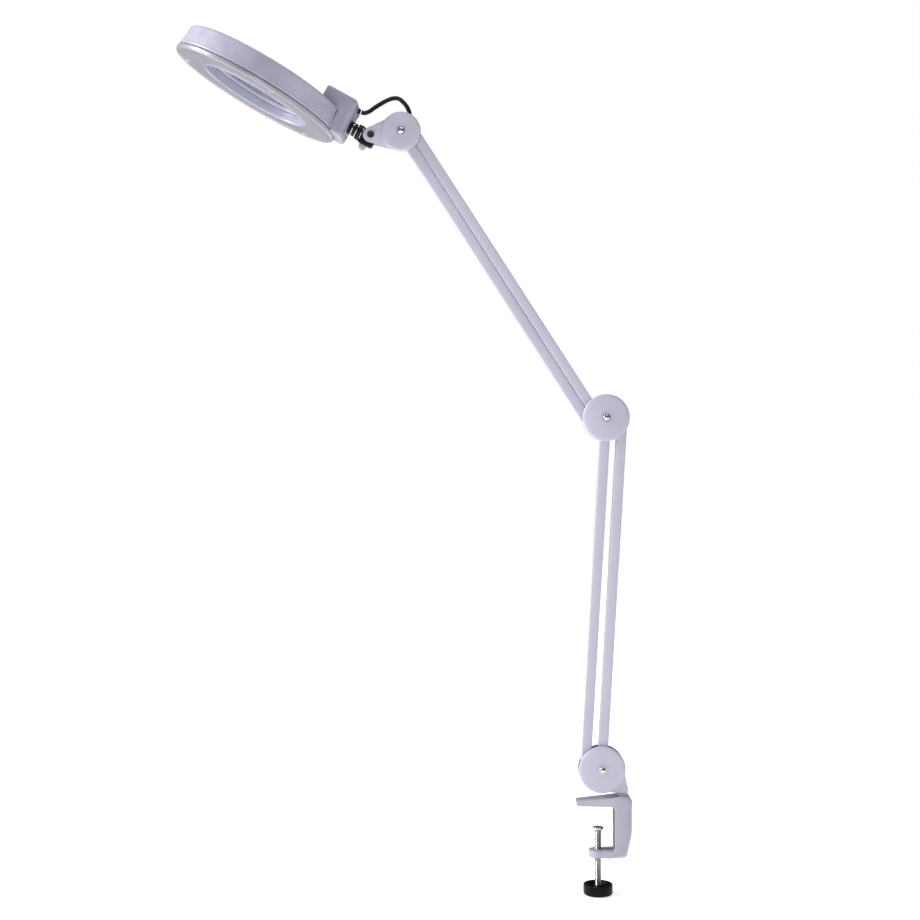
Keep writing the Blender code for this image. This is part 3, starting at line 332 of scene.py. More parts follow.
# %% [markdown]
# Three recipes cover nearly everything: paint on steel or on a casting, bright plating, and moulded
# plastic. Plating is all reflection, so its life is in the roughness streaks. Moulded plastic takes the
# grain of its mould, and is a little smoother where hands have been.

# %% Paints, metals and plastics
def powder_paint(name, colour, roughness=0.38, peel=900):
    """Powder paint: a peel bump, slow colour drift and roughness that wanders a little."""
    material, tree, shader = base_material(name, colour, roughness, Coat_Weight=0.25, Coat_Roughness=0.25)
    slow = noise(tree, 14, 4)
    tint(tree, shader, slow, shade(colour, 0.965), shade(colour, 1.02))
    fine = noise(tree, peel, 2)
    vary(tree, shader, fine, "Roughness", roughness - 0.05, roughness + 0.06)
    bump(tree, shader, fine, 0.00005, 0.35)
    return material


def plated_metal(name, colour, roughness, scratch=(1, 1, 1), scale=500):
    """Plated metal: roughness streaks and a faint drift in the plating's colour."""
    material, tree, shader = base_material(name, colour, roughness, 1.0)
    streaks = noise(tree, scale, 6, scratch)
    vary(tree, shader, streaks, "Roughness", roughness * 0.6, roughness * 1.6)
    tint(tree, shader, noise(tree, 60, 3), shade(colour, 0.92), shade(colour, 1.05))
    bump(tree, shader, streaks, 0.00001, 0.3)
    return material


def moulded(name, colour, roughness=0.45, grain=1600, height=0.00003, gloss=0.5):
    """Moulded plastic: fine spark-eroded grain and patches that have been handled smooth."""
    material, tree, shader = base_material(name, colour, roughness, Specular_IOR_Level=gloss)
    fine = noise(tree, grain, 2)
    vary(tree, shader, noise(tree, 45, 4), "Roughness", roughness - 0.07, roughness + 0.08)
    tint(tree, shader, noise(tree, 30, 3), shade(colour, 0.9), shade(colour, 1.08))
    bump(tree, shader, fine, height, 0.5)
    return material


PAINT = powder_paint("painted_steel", (0.52, 0.502, 0.61))
CAST = powder_paint("cast_paint", (0.41, 0.396, 0.482), 0.42, 420)
SHELL = moulded("moulded_shell", (0.42, 0.402, 0.51), 0.34, 1400, 0.00003)
# The driver box is the drum's own plastic; this darker copy is painted shade, for the shade the box sits in.
SHADED_BOX_SHELL = moulded("box_shell_painted_shade", (0.34, 0.325, 0.415), 0.36, 1400, 0.00003)
CHROME = plated_metal("chrome", (0.58, 0.58, 0.58), 0.09)
ZINC = plated_metal("zinc_steel", (0.46, 0.46, 0.46), 0.3)
BLACK = moulded("black_plastic", (0.006, 0.006, 0.006), 0.42, 1200, 0.00004, 0.18)
KNOB_BLACK = moulded("knob_plastic", (0.003, 0.003, 0.003), 0.3, 1200, 0.00003, 0.1)
SCREW_STEEL = plated_metal("screw_steel", (0.40, 0.40, 0.40), 0.16)
PALE = moulded("pale_plastic", (0.36, 0.32, 0.33), 0.4)
RUBBER = moulded("lead_rubber", (0.007, 0.007, 0.009), 0.42, 2500, 0.00002, 0.3)
BOARD = moulded("circuit_board", (0.02, 0.16, 0.08), 0.35, 300, 0.00004)
DULL = plated_metal("dull_screw", (0.22, 0.22, 0.24), 0.42)
BLACKENED = moulded("blackened_steel", (0.03, 0.018, 0.015), 0.33)
print("materials:", len(bpy.data.materials))

# %% [markdown]
# The ring cover is frosted acrylic. It hides the lamps but lets light through, so it is partly
# transmissive with a rough surface. Round its opening a paler tone is painted in, painted light for what
# comes in by the bore: the mesh says where, in an attribute of its own. The lens is glass
# with a faint blue coating, so it gets full transmission and almost no roughness.

# %% Acrylic and glass
FROST, frost_tree, frost_shader = base_material(
    "frosted_diffuser", (0.36, 0.35, 0.40), 0.32, IOR=1.49, Coat_Weight=0.5, Coat_Roughness=0.12)
frost_shader.inputs["Transmission Weight"].default_value = 0.25
frost_grain = noise(frost_tree, 700, 3)
vary(frost_tree, frost_shader, frost_grain, "Roughness", 0.28, 0.38)
tint(frost_tree, frost_shader, noise(frost_tree, 20, 3), (0.33, 0.32, 0.37), (0.40, 0.39, 0.44))
drift = frost_shader.inputs["Base Color"].links[0].from_socket
# Painted light: a paler, bluer colour mixed in near the opening, standing for light that comes in by the
# bore.
painted_bore_light = frost_tree.nodes.new("ShaderNodeAttribute")
painted_bore_light.attribute_name = "painted_bore_light"
lighter = frost_tree.nodes.new("ShaderNodeMixRGB")
lighter.inputs["Color2"].default_value = (0.44, 0.45, 0.56, 1)
frost_tree.links.new(painted_bore_light.outputs["Fac"], lighter.inputs["Fac"])
frost_tree.links.new(drift, lighter.inputs["Color1"])
frost_tree.links.new(lighter.outputs["Color"], frost_shader.inputs["Base Color"])
bump(frost_tree, frost_shader, frost_grain, 0.00003, 0.3)
GLASS, glass_tree, glass_shader = base_material(
    "lens_glass", (0.74, 0.80, 1.0), 0.02, IOR=1.5, Coat_Weight=0.3, Coat_Roughness=0.02)
glass_shader.inputs["Transmission Weight"].default_value = 1.0
vary(glass_tree, glass_shader, noise(glass_tree, 40, 2), "Roughness", 0.01, 0.03)
CLEAR, clear_tree, clear_shader = base_material(
    "clear_acrylic", (0.80, 0.80, 0.86), 0.1, IOR=1.49, Coat_Weight=0.4, Coat_Roughness=0.05)
clear_shader.inputs["Transmission Weight"].default_value = 0.55
vary(clear_tree, clear_shader, noise(clear_tree, 300, 3), "Roughness", 0.06, 0.16)
print("frost and glass made")

# %% [markdown]
# ## The layers of the arm
# Across the arm, from the middle out, lie the bars, the pressed plates, the disc covers and the bolt
# heads, with a hair of space between each. Naming these levels once keeps every later piece in line.

# %% Levels across the arm
GAP = 0.3 * MM
BAR_HALF = 4.5 * MM
PLATE_IN = BAR_HALF + GAP
PLATE_OUT = PLATE_IN + 1.5 * MM
COVER_IN = PLATE_OUT + GAP
COVER_OUT = COVER_IN + 4.0 * MM
SEAT = COVER_OUT + GAP
SIDES = {"front": -1, "rear": 1}


def circle(radius, steps=72):
    """An outline of points round a circle."""
    a = np.linspace(0, 2 * np.pi, steps, endpoint=False)
    return radius * np.stack([np.cos(a), np.sin(a)], 1)


def rectangle(low, high, corner, steps=6):
    """A rectangle's outline with softened corners."""
    (left, bottom), (right, top) = low, high
    points = [(left, bottom), (right, bottom), (right, top), (left, top)]
    return soften(points, corner * 1.25, steps)


print("bolt seat", round(SEAT / MM, 2), "mm from the middle")

# %% [markdown]
# A cover is pressed from sheet: flat in the middle, rolled down at the rim, and about a millimetre
# thick. Turning one closed wall profile gives it an inside too, so its edge looks thin from any side.

# %% Disc covers
COVER_RADIUS = 29.0 * MM
HEAD_COVER_RADIUS = 24.5 * MM
REAR_HEAD_RADIUS = 22.0 * MM
COVERS = [("base", BASE, COVER_RADIUS, "base"), ("elbow", ELBOW, COVER_RADIUS, "elbow"),
          ("head", HEAD, HEAD_COVER_RADIUS, "head_bracket")]
WALL = 1.0 * MM
BOLT_HOLE = 3.3 * MM
ROLL = 3.0 * MM
CROWN = 0.9 * MM


def disc_cover(name, centre, radius, side):
    """A closed wall profile in (radius, height), softened at its rim and turned about Y."""
    shoulder = COVER_OUT - CROWN
    outside = [(BOLT_HOLE, COVER_OUT), (0.5 * radius, COVER_OUT - 0.25 * CROWN), (radius - ROLL, shoulder),
               (radius - 0.25 * ROLL, shoulder - 0.25 * ROLL), (radius, shoulder - 0.7 * ROLL),
               (radius, COVER_IN)]
    inside = [(radius - WALL, COVER_IN), (radius - WALL, shoulder - 0.8 * ROLL),
              (radius - ROLL - WALL, shoulder - WALL), (BOLT_HOLE, COVER_OUT - WALL)]
    reach = np.array([0.2, 6.0, 0.9, 0.7, 0.7, 0.3, 0.3, 0.4, 0.4, 0.2]) * MM
    profile = soften(outside + inside, reach, 4)
    return lathe(name, profile, centre, side * Y, X, 128, closed=True)


for prefix, centre, radius, body in COVERS:
    for word, side in SIDES.items():
        node = f"{prefix}_cover_{word}"
        shown_radius = REAR_HEAD_RADIUS if node == "head_cover_rear" else radius
        dress(disc_cover("shown_" + node, centre, shown_radius, side), body, PAINT, [node])
print("covers made")

# %% [markdown]
# The bolts are chromed cap nuts: a low flange and a dome. The shank goes right through, so it is part
# of the front piece, and the rear one is only the cap.

# %% Bolts, nuts and pins
HEAD_RADIUS = 4.9 * MM
HEAD_HEIGHT = 4.2 * MM
FLANGE_HEIGHT = 0.2 * HEAD_HEIGHT
SHANK = 3.0 * MM
PINS = ["base_pin", "elbow_pin_lower", "elbow_pin_upper_left", "elbow_pin_upper_right", "head_pin",
        "tilt_nut"]


def cap_profile(bore):
    """From the bore out to the flange, then (R cos a, h sin a) up to the crown."""
    a = np.linspace(0, np.pi / 2, 14)
    rise = SEAT + FLANGE_HEIGHT + (HEAD_HEIGHT - FLANGE_HEIGHT) * np.sin(a)
    crown = np.stack([0.9 * HEAD_RADIUS * np.cos(a), rise], 1)
    flange = [(bore, SEAT), (HEAD_RADIUS, SEAT), (HEAD_RADIUS, SEAT + FLANGE_HEIGHT)]
    return np.concatenate([soften(flange, 0.25 * MM, 3, closed=False), crown])


for prefix, centre, radius, body in COVERS:
    shank = [(0.0, -SEAT - 0.5 * HEAD_HEIGHT), (SHANK, -SEAT - 0.5 * HEAD_HEIGHT)]
    bolt = lathe(f"shown_{prefix}_bolt", np.concatenate([shank, cap_profile(SHANK)]), centre, -Y, X, 48)
    dress(bolt, body, CHROME, [f"{prefix}_bolt"])
    nut = lathe(f"shown_{prefix}_nut", cap_profile(SHANK + GAP / 2), centre, Y, X, 48)
    dress(nut, body, CHROME, [f"{prefix}_nut"])
repaint(PINS, ZINC)
print("bolts made")

# %% [markdown]
# Each arm bar is a flat tube with a rounded section and round ends. A tube's wall goes up the outside,
# over the end and down the inside, so its surface is a grid that wraps both ways.

# %% Arm bars
BAR_WIDTH = 12.6 * MM
BAR_WALL = 1.2 * MM
BAR_CORNER = 1.3 * MM
BAR_BORE_CORNER = 0.6 * MM
BAR_ROWS = 9


def rounded_section(half_x, half_y, corner, steps=5):
    """Points round a rectangle centred on zero, with softened corners."""
    return rectangle((-half_x, -half_y), (half_x, half_y), corner, steps)


def bar(name, foot, head):
    """Outer section up from the foot's round end, z = -sqrt(R^2 - x^2), to the head's,
    L + sqrt(R^2 - x^2), then the inner section back down."""
    run = np.asarray(head) - np.asarray(foot)
    length = np.linalg.norm(run)
    along = run / length
    across = np.cross(Y, along)
    radius = BAR_WIDTH / 2
    outer = rounded_section(radius, BAR_HALF, BAR_CORNER)
    inner = rounded_section(radius - BAR_WALL, BAR_HALF - BAR_WALL, BAR_BORE_CORNER)
    climb = np.linspace(0, 1, BAR_ROWS)
    rows = []
    for section, shares in ((outer, climb), (inner, climb[::-1])):
        reach = np.sqrt(np.maximum(radius ** 2 - section[:, 0] ** 2, 0))
        heights = -reach + shares[:, None] * (length + 2 * reach)
        flat = section[None, :, 0:1] * across + section[None, :, 1:2] * Y
        rows.append(foot + flat + heights[..., None] * along)
    points = np.concatenate(rows)
    faces = grid_faces(points.shape[0], points.shape[1], True, True)
    return to_object(name, points.reshape(-1, 3), faces)


LOWER_RUN = ELBOW - BASE_LEFT
UPPER_RUN = HEAD - UPPER_LEFT
BARS = {"lower_bar_left": (BASE_LEFT, LOWER_RUN), "lower_bar_right": (BASE, LOWER_RUN),
        "upper_bar_left": (UPPER_LEFT, UPPER_RUN), "upper_bar_right": (UPPER_RIGHT, UPPER_RUN)}
for node, (foot, run) in BARS.items():
    dress(bar("shown_" + node, foot, foot + run), node, PAINT, [node])
    repaint([node.replace("bar", "spring")], ZINC)
print("bars:", {node: round(float(np.linalg.norm(run)), 4) for node, (foot, run) in BARS.items()})

# %% [markdown]
# The plates that carry the pivots are pressed flat, with edges just broken by the press. The elbow's are
# round. The yoke's are drawn tight round its disc and the tilt bolt. The base bracket's reach to a foot,
# which stands on a post that turns in the clamp.

# %% Elbow plates, yoke and base bracket
FOOT_BOTTOM = 15.4 * MM
FOOT_TOP = 25.0 * MM
FOOT_IN = 22.5 * MM
FOOT_CORNER = 3.5 * MM
FOOT_CORNER_AT = (33.2 * MM, FOOT_BOTTOM + FOOT_CORNER)
FOOT_OUT = FOOT_CORNER_AT[0] + FOOT_CORNER
ELBOW_PLATE_RADIUS = 28.4 * MM
YOKE_RADIUS = 22.0 * MM
YOKE_END_RADIUS = 9.5 * MM
BRACKET_RADIUS = 27.0 * MM
EDGE = 0.45 * MM
POST_X = JOINTS["base_swivel"]["pos_m"][0]
POST_RADIUS = 6.0 * MM
POST_FOOT = -31.6 * MM
STUD_RADIUS = 4.2 * MM
STUD_TOP = 24.4 * MM


def flat_of(point):
    """A point's x and z."""
    return np.array([point[0], point[2]])


def plate(name, outline, near, far, body, node):
    """A slab across Y that stands for a pressed plate."""
    item = slab(name, outline, near, far, EDGE, np.zeros(3), X, Z, Y)
    return dress(item, body, PAINT, [node])


for word, side in SIDES.items():
    near, far = sorted((side * PLATE_IN, side * PLATE_OUT))
    elbow_outline = circle(ELBOW_PLATE_RADIUS) + flat_of(ELBOW)
    yoke_outline = belt(flat_of(HEAD), YOKE_RADIUS, flat_of(TILT), YOKE_END_RADIUS, 40)
    bracket_outline = belt(flat_of(BASE), BRACKET_RADIUS, FOOT_CORNER_AT, FOOT_CORNER, 40)
    plate(f"shown_elbow_plate_{word}", elbow_outline, near, far, "elbow", f"elbow_plate_{word}")
    plate(f"shown_yoke_{word}", yoke_outline, near, far, "head_bracket", f"yoke_plate_{word}")
    plate(f"shown_bracket_{word}", bracket_outline, near, far, "base", "base_bracket")
foot_outline = rectangle((FOOT_IN, FOOT_BOTTOM), (FOOT_OUT, FOOT_TOP), MM)
plate("shown_bracket_foot", foot_outline, -PLATE_IN, PLATE_IN, "base", "base_bracket")

post_profile = [(0.0, POST_FOOT), (POST_RADIUS, POST_FOOT), (POST_RADIUS, FOOT_BOTTOM - GAP),
                (STUD_RADIUS, FOOT_BOTTOM - GAP), (STUD_RADIUS, STUD_TOP), (0.0, STUD_TOP)]
post = lathe("shown_post", soften(post_profile, 0.4 * MM, 3, closed=False), POST_X * X, Z, X, 64)
dress(post, "base", PAINT, ["base_post"])
repaint(["post_bush"], BLACK)
print("plates, bracket and post made")

# %% [markdown]
# ## The bench clamp
# The clamp is one casting bent like a C. Think of it as a strip carried round a bend: at each step it has
# an inner and an outer edge and a width. A rounded rectangle between those edges, step after step, makes
# the whole casting with soft rims and no seams.

# %% Clamp casting
JAW_TIP = -27.5 * MM
JAW_TIP_TOP = 7.4 * MM
JAW_CUT = 4 * MM
RAMP_END = 18.2 * MM
RAMP_TOP = 11.4 * MM
CLAMP_TOP = 12.4 * MM
WEB_IN, WEB_OUT, WEB_FOOT = 19.7 * MM, 41.5 * MM, 35.0 * MM
WEB_BREAK = -33.5 * MM
LOW_TOP, LOW_BOTTOM = -54.4 * MM, -63.4 * MM
INNER_BEND = 2 * MM
OUTER_BEND = 6 * MM
NOSE = 11.8 * MM
TIP_HALF, WEB_HALF = 7.5 * MM, 13.5 * MM
RIM = 1.4 * MM
WEB_CORNER = 7.4 * MM
BEND_ROWS = 7
WEB_ROWS = 10


def half_width(x):
    """Half the casting's width at x: it tapers from the web to the jaw's tip."""
    return np.interp(x, [JAW_TIP - 5 * MM, WEB_IN], [TIP_HALF, WEB_HALF])


def sweep_strip(name, inner, outer, halves, corner, outer_corner, steps=6):
    """Rounded rectangles whose long sides run from each inner point to its outer partner."""
    span = np.linalg.norm(outer - inner, axis=1) / 2
    middle = (inner + outer) / 2
    direction = (outer - inner) / (2 * span[:, None])
    a = (np.linspace(0, np.pi / 2, steps)[None] + np.arange(4)[:, None] * np.pi / 2).ravel()
    corner_x = np.repeat([1, -1, -1, 1], steps)
    corner_y = np.repeat([1, 1, -1, -1], steps)
    wanted = np.where(corner_x[None] > 0, outer_corner[:, None], corner)
    radius = np.minimum(wanted, 0.9 * np.minimum(span, halves)[:, None])
    along = corner_x[None] * (span[:, None] - radius) + radius * np.cos(a)[None]
    side = corner_y[None] * (halves[:, None] - radius) + radius * np.sin(a)[None]
    flat = middle[:, None] + along[..., None] * direction[:, None]
    points = flat[..., 0:1] * X + side[..., None] * Y + flat[..., 1:2] * Z
    return to_object(name, points.reshape(-1, 3), capped_faces(*points.shape[:2]), 35)


def resample(points, count):
    """Points evenly spaced along a polyline."""
    points = np.asarray(points, float)
    run = np.concatenate([[0], np.cumsum(np.linalg.norm(np.diff(points, axis=0), axis=1))])
    at = np.linspace(0, run[-1], count)
    return np.stack([np.interp(at, run, points[:, k]) for k in range(2)], 1)


def quarter(centre, radius, start, end):
    """Points on a quarter circle in the arms' plane, from one angle to another."""
    angle = np.linspace(start, end, BEND_ROWS)
    return centre + radius * np.stack([np.cos(angle), np.sin(angle)], 1)


# %% [markdown]
# The inner and outer edges are walked in step: along the jaw from its cut tip, round the upper bend, down
# the web, round the heel, and along the low arm to its round nose. The web's outer corners are rounded
# much more than the rest, so a moving average eases that rounding in and out along the strip.

# %% Walk round the clamp
BEND_X = WEB_IN - INNER_BEND
jaw_x = np.linspace(JAW_TIP, BEND_X, 16)
undercut = np.clip((JAW_TIP + JAW_CUT - jaw_x) * 0.25, 0, None)
jaw_low = np.stack([np.maximum(jaw_x, JAW_TIP + 0.6 * MM), undercut], 1)
jaw_top = np.stack([jaw_x, np.interp(jaw_x, [JAW_TIP, RAMP_END], [JAW_TIP_TOP, RAMP_TOP])], 1)
bend_in = quarter((BEND_X, -INNER_BEND), INNER_BEND, np.pi / 2, 0)
top_corner = [(RAMP_END, RAMP_TOP), (24 * MM, CLAMP_TOP), (WEB_OUT, CLAMP_TOP), (WEB_OUT, -OUTER_BEND)]
bend_out = resample(soften(top_corner, [0, INNER_BEND, OUTER_BEND, 0], 8, closed=False), BEND_ROWS)
web_z = np.linspace(-INNER_BEND, LOW_TOP + INNER_BEND, WEB_ROWS)
web_in = np.stack([np.full(WEB_ROWS, WEB_IN), web_z], 1)
web_out_z = np.linspace(-OUTER_BEND, LOW_BOTTOM + OUTER_BEND, WEB_ROWS)
web_out = np.stack([np.interp(web_out_z, [LOW_BOTTOM, WEB_BREAK], [WEB_FOOT, WEB_OUT]), web_out_z], 1)
heel_in = quarter((BEND_X, LOW_TOP + INNER_BEND), INNER_BEND, 0, -np.pi / 2)
heel_corner = [web_out[-1], (WEB_FOOT, LOW_BOTTOM), (BEND_X, LOW_BOTTOM)]
heel_out = resample(soften(heel_corner, [0, OUTER_BEND, 0], 8, closed=False), BEND_ROWS)
nose_angle = np.linspace(0, np.pi / 2, 14)
nose_x = np.concatenate([np.linspace(BEND_X, 0, 8)[1:-1], -NOSE * np.sin(nose_angle)])
nose_low = np.stack([nose_x, np.full(nose_x.size, LOW_BOTTOM)], 1)
nose_high = np.stack([nose_x, np.full(nose_x.size, LOW_TOP)], 1)
inner = np.concatenate([jaw_low, bend_in[1:], web_in[1:], heel_in[1:], nose_high])
outer = np.concatenate([jaw_top, bend_out[1:], web_out[1:], heel_out[1:], nose_low])
halves = half_width((inner[:, 0] + outer[:, 0]) / 2)
nose_half = np.sqrt(np.maximum(NOSE ** 2 - np.minimum(nose_x, 0) ** 2, (0.4 * MM) ** 2))
halves[-nose_x.size:] = np.maximum(nose_half, np.where(nose_x > 0, half_width(nose_x), 0))
web_share = np.zeros(len(inner))
web_share[len(jaw_low) + 3:-nose_x.size - 2] = 1.0
web_share = np.convolve(web_share, np.ones(5) / 5, mode="same")
clamp = sweep_strip("shown_clamp_frame", inner, outer, halves, RIM, RIM + (WEB_CORNER - RIM) * web_share)
dress(clamp, "clamp", CAST, ["clamp_frame"])

# Painted shade: a thin dark strip on the web's inner face stands in for the shade in the hollow under the
# upper jaw.
THROAT_SHADE = moulded("painted_throat_shade", (0.05, 0.05, 0.055), 0.5)
THROAT_SHADE_HALF = 12.6 * MM
THROAT_SHADE_LIP = 0.2 * MM
throat_shade_outline = rectangle((WEB_IN - 0.3 * MM, LOW_TOP + 3 * MM), (WEB_IN + 0.5 * MM, -3 * MM), THROAT_SHADE_LIP)
throat_shade = slab("shown_throat_shade_strip", throat_shade_outline, -THROAT_SHADE_HALF, THROAT_SHADE_HALF, THROAT_SHADE_LIP, np.zeros(3), X, Z, Y)
dress(throat_shade, "clamp", THROAT_SHADE, [])
print("clamp casting:", len(clamp.data.polygons), "faces")

# %% [markdown]
# The clamp screw's thread is a spiral, and a spiral is easy as a surface: the radius at a height and an
# angle depends on height divided by pitch, less the turn made so far. The knob and pad are turned.

# %% Clamp screw, pad and knob
PITCH = 1.25 * MM
SCREW_RADIUS = 4.0 * MM
THREAD_DEPTH = 0.42 * MM
NECK_RADIUS = 3.0 * MM
PAD_TOP = -27.0 * MM
PAD_THICK = 4.2 * MM
PAD_RADIUS = 6.8 * MM
PAD_FOOT_RADIUS = 5.1 * MM
PAD_BORE = NECK_RADIUS + GAP
PAD_ROOF = 1.6 * MM
KNOB_TOP = -97.3 * MM
KNOB_HEIGHT = 12.7 * MM
KNOB_RADIUS = 18.25 * MM
KNOB_DISH = 4.0 * MM
KNOB_BORE = SCREW_RADIUS + GAP


def threaded_rod(name, top, bottom, radius, depth, pitch, sides=28, per_turn=9):
    """Radius r - depth * |2 frac(z / pitch - a / 2 pi) - 1|, a ridge that climbs a pitch a turn."""
    rows = int((top - bottom) / pitch * per_turn)
    around = np.linspace(0, 2 * np.pi, sides, endpoint=False)
    z, angle = np.meshgrid(np.linspace(bottom, top, rows), around, indexing="ij")
    phase = (z / pitch - angle / (2 * np.pi)) % 1.0
    r = radius - depth * np.abs(2 * phase - 1)
    points = np.stack([r * np.cos(angle), r * np.sin(angle), z], -1)
    return to_object(name, points.reshape(-1, 3), capped_faces(rows, sides), 60)


SHOULDER = PAD_TOP - PAD_THICK - GAP
rod = threaded_rod("shown_clamp_screw", SHOULDER, KNOB_TOP - 9.2 * MM, SCREW_RADIUS, THREAD_DEPTH, PITCH)
dress(rod, "screw", SCREW_STEEL, ["clamp_screw"])
neck_profile = [(0.0, SHOULDER - MM), (NECK_RADIUS, SHOULDER - MM), (NECK_RADIUS, SHOULDER + 2.4 * MM),
                (0.0, SHOULDER + 2.4 * MM)]
neck = lathe("shown_screw_neck", neck_profile, np.zeros(3), Z, X, 32)
dress(neck, "screw", ZINC, ["clamp_screw"])
pad_profile = [(0.0, PAD_TOP), (PAD_RADIUS, PAD_TOP), (PAD_RADIUS, PAD_TOP - PAD_THICK / 2),
               (PAD_FOOT_RADIUS, PAD_TOP - PAD_THICK), (PAD_BORE, PAD_TOP - PAD_THICK),
               (PAD_BORE, PAD_TOP - PAD_ROOF), (0.0, PAD_TOP - PAD_ROOF)]
pad = lathe("shown_pad", soften(pad_profile, 0.5 * MM, 4, closed=False), np.zeros(3), Z, X, 64)
dress(pad, "pad", CHROME, ["pressure_pad"])
knob_floor = KNOB_TOP - KNOB_DISH
hub_top = KNOB_TOP - 1.5 * MM
bore_end = KNOB_TOP - 9.5 * MM
knob_profile = [(0.0, KNOB_TOP - KNOB_HEIGHT), (KNOB_RADIUS, KNOB_TOP - KNOB_HEIGHT), (KNOB_RADIUS, KNOB_TOP),
                (KNOB_RADIUS - 3 * MM, KNOB_TOP), (KNOB_RADIUS - 6 * MM, knob_floor),
                (7.5 * MM, knob_floor), (6.0 * MM, hub_top), (KNOB_BORE, hub_top), (KNOB_BORE, bore_end),
                (0.0, bore_end)]
knob_reach = np.array([0, 2.6, 1.3, 1.2, 1.6, 0.6, 0.6, 0.3, 0.3, 0]) * MM
knob = lathe("shown_knob", soften(knob_profile, knob_reach, 6, closed=False), np.zeros(3), Z, X, 128)
dress(knob, "screw", KNOB_BLACK, ["clamp_knob"])
print("thread faces:", len(rod.data.polygons))

# %% [markdown]
# ## The ring head
# The head is a ring-shaped channel of moulded plastic, with a frosted cover under it and a lens in the
# middle. Each is turned about the ring's own axis from one closed profile. Small rounded corners catch
# the light along the rims, which is what makes moulded plastic look moulded.

# %% Helper for ring pieces
RING_SIDES = 192


def ring_piece(name, profile, reach, material, node, smooth=4):
    """A closed profile in (radius, height) metres, its corners softened, turned about the ring's axis."""
    outline = soften(profile, np.array(reach) * MM, smooth)
    item = lathe(name, outline, RING, UP, Y, RING_SIDES, closed=True)
    return dress(item, "head", material, [node])


# %% [markdown]
# The drum leans in a little towards its top, as a piece must to leave its mould. A slim upright band at
# its foot meets the ring cover, with a dark seam between. Inside, a lip holds the lens.

# %% Drum
BORE = 66.2 * MM
LIP = 61.0 * MM
DRUM_FOOT, DRUM_BAND, DRUM_TOP = 6.6 * MM, 9.5 * MM, 33.1 * MM
DRUM_FOOT_RADIUS, DRUM_TOP_RADIUS = 109.0 * MM, 105.9 * MM
SHELL_WALL = 2.2 * MM
CEILING = 31.3 * MM
LENS_SEAT = 20.4 * MM
LENS_RING_TOP = 16.0 * MM
SLEEVE_FOOT = 11.8 * MM
drum_outside = [(DRUM_FOOT_RADIUS, DRUM_FOOT), (DRUM_FOOT_RADIUS, DRUM_BAND),
                (DRUM_FOOT_RADIUS - 0.5 * MM, DRUM_BAND + 0.7 * MM), (DRUM_TOP_RADIUS, DRUM_TOP)]
drum_bore = [(BORE, DRUM_TOP), (BORE, LENS_SEAT + 2.2 * MM), (LIP, LENS_SEAT + 1.1 * MM), (LIP, LENS_SEAT),
             (BORE, LENS_SEAT), (BORE, SLEEVE_FOOT)]
drum_inside = [(BORE + SHELL_WALL, SLEEVE_FOOT), (BORE + SHELL_WALL, CEILING), (104.2 * MM, CEILING),
               (107.2 * MM, DRUM_FOOT)]
drum_reach = [0.4, 0.6, 0.6, 3.2, 3.2, 0.6, 0.5, 0.3, 0.3, 0.3, 0.4, 1.5, 1.5, 0.3]
drum_profile = drum_outside + drum_bore + drum_inside
ring_piece("shown_drum", drum_profile, drum_reach, SHELL, "head_housing", smooth=8)
print("drum", round(2 * DRUM_FOOT_RADIUS / MM), "mm across")

# %% [markdown]
# The ring cover is one thin moulding: a skirt up the bore, a face sunk a little between two raised rims,
# and an outer rim that reaches up round the drum's foot. An attribute on it goes from 0 on the face to 1
# at the opening, and drives the painted light there: a paler tone that stands for light from the bore.

# %% Ring cover
RING_RADIUS = 109.6 * MM
RIM_FOOT_RADIUS = 108.5 * MM
RIM_IN = 108.0 * MM
RIM_TOP = 5.7 * MM
FACE_IN, FACE_OUT, FACE_SINK = 71.6 * MM, 103.4 * MM, 0.6 * MM
COVER_BORE = 67.5 * MM
SHEET = 2.0 * MM
SKIRT_TOP = 11.5 * MM
BORE_LIGHT_FROM, BORE_LIGHT_WIDTH = 72.5 * MM, 3.0 * MM
cover_outside = [(COVER_BORE, 0.0), (FACE_IN - FACE_SINK, 0.0), (FACE_IN, FACE_SINK), (FACE_OUT, FACE_SINK),
                 (FACE_OUT + FACE_SINK, 0.0), (RIM_FOOT_RADIUS, 0.0), (RING_RADIUS, 3.0 * MM),
                 (RING_RADIUS, RIM_TOP)]
cover_inside = [(RIM_IN, RIM_TOP), (RIM_IN, 3.2 * MM), (RIM_IN - 1.5 * MM, SHEET),
                (COVER_BORE + SHEET, SHEET), (COVER_BORE + SHEET, SKIRT_TOP), (COVER_BORE, SKIRT_TOP)]
cover_reach = [1.6, 0.4, 0.4, 0.4, 0.4, 2.6, 1.2, 0.5, 0.3, 0.8, 0.8, 0.4, 0.4, 0.5]
diffuser = ring_piece("shown_diffuser", cover_outside + cover_inside, cover_reach, FROST, "diffuser",
                      smooth=6)
# The share of painted bore light at each point: 1 at the opening, 0 a little way out on the face.
from_ring = np.empty(3 * len(diffuser.data.vertices))
diffuser.data.vertices.foreach_get("co", from_ring)
from_ring = from_ring.reshape(-1, 3) - RING
distance = np.hypot(from_ring @ ALONG, from_ring @ Y)
bore_light_share = diffuser.data.attributes.new("painted_bore_light", "FLOAT", "POINT")
bore_light_share.data.foreach_set("value", np.clip((BORE_LIGHT_FROM - distance) / BORE_LIGHT_WIDTH, 0, 1))
print("ring cover points:", len(distance))

# %% [markdown]
# The lens is ground on both faces. Each face is a shallow parabola, level plus bulge times one less the
# square of the share of the radius. A turned ring holds it, and the lamp board lies over the cover.

# %% Lens, its ring and the lamp board
BOARD_IN, BOARD_OUT, BOARD_LOW, BOARD_HIGH = 73.0 * MM, 102.5 * MM, 26.0 * MM, 27.6 * MM
LENS_RADIUS, LENS_LOW, LENS_HIGH, BULGE = 63.5 * MM, 16.7 * MM, 19.7 * MM, 5.2 * MM


def square_profile(inside, outside, low, high):
    """The four corners of a plain ring's section."""
    return [(inside, low), (outside, low), (outside, high), (inside, high)]


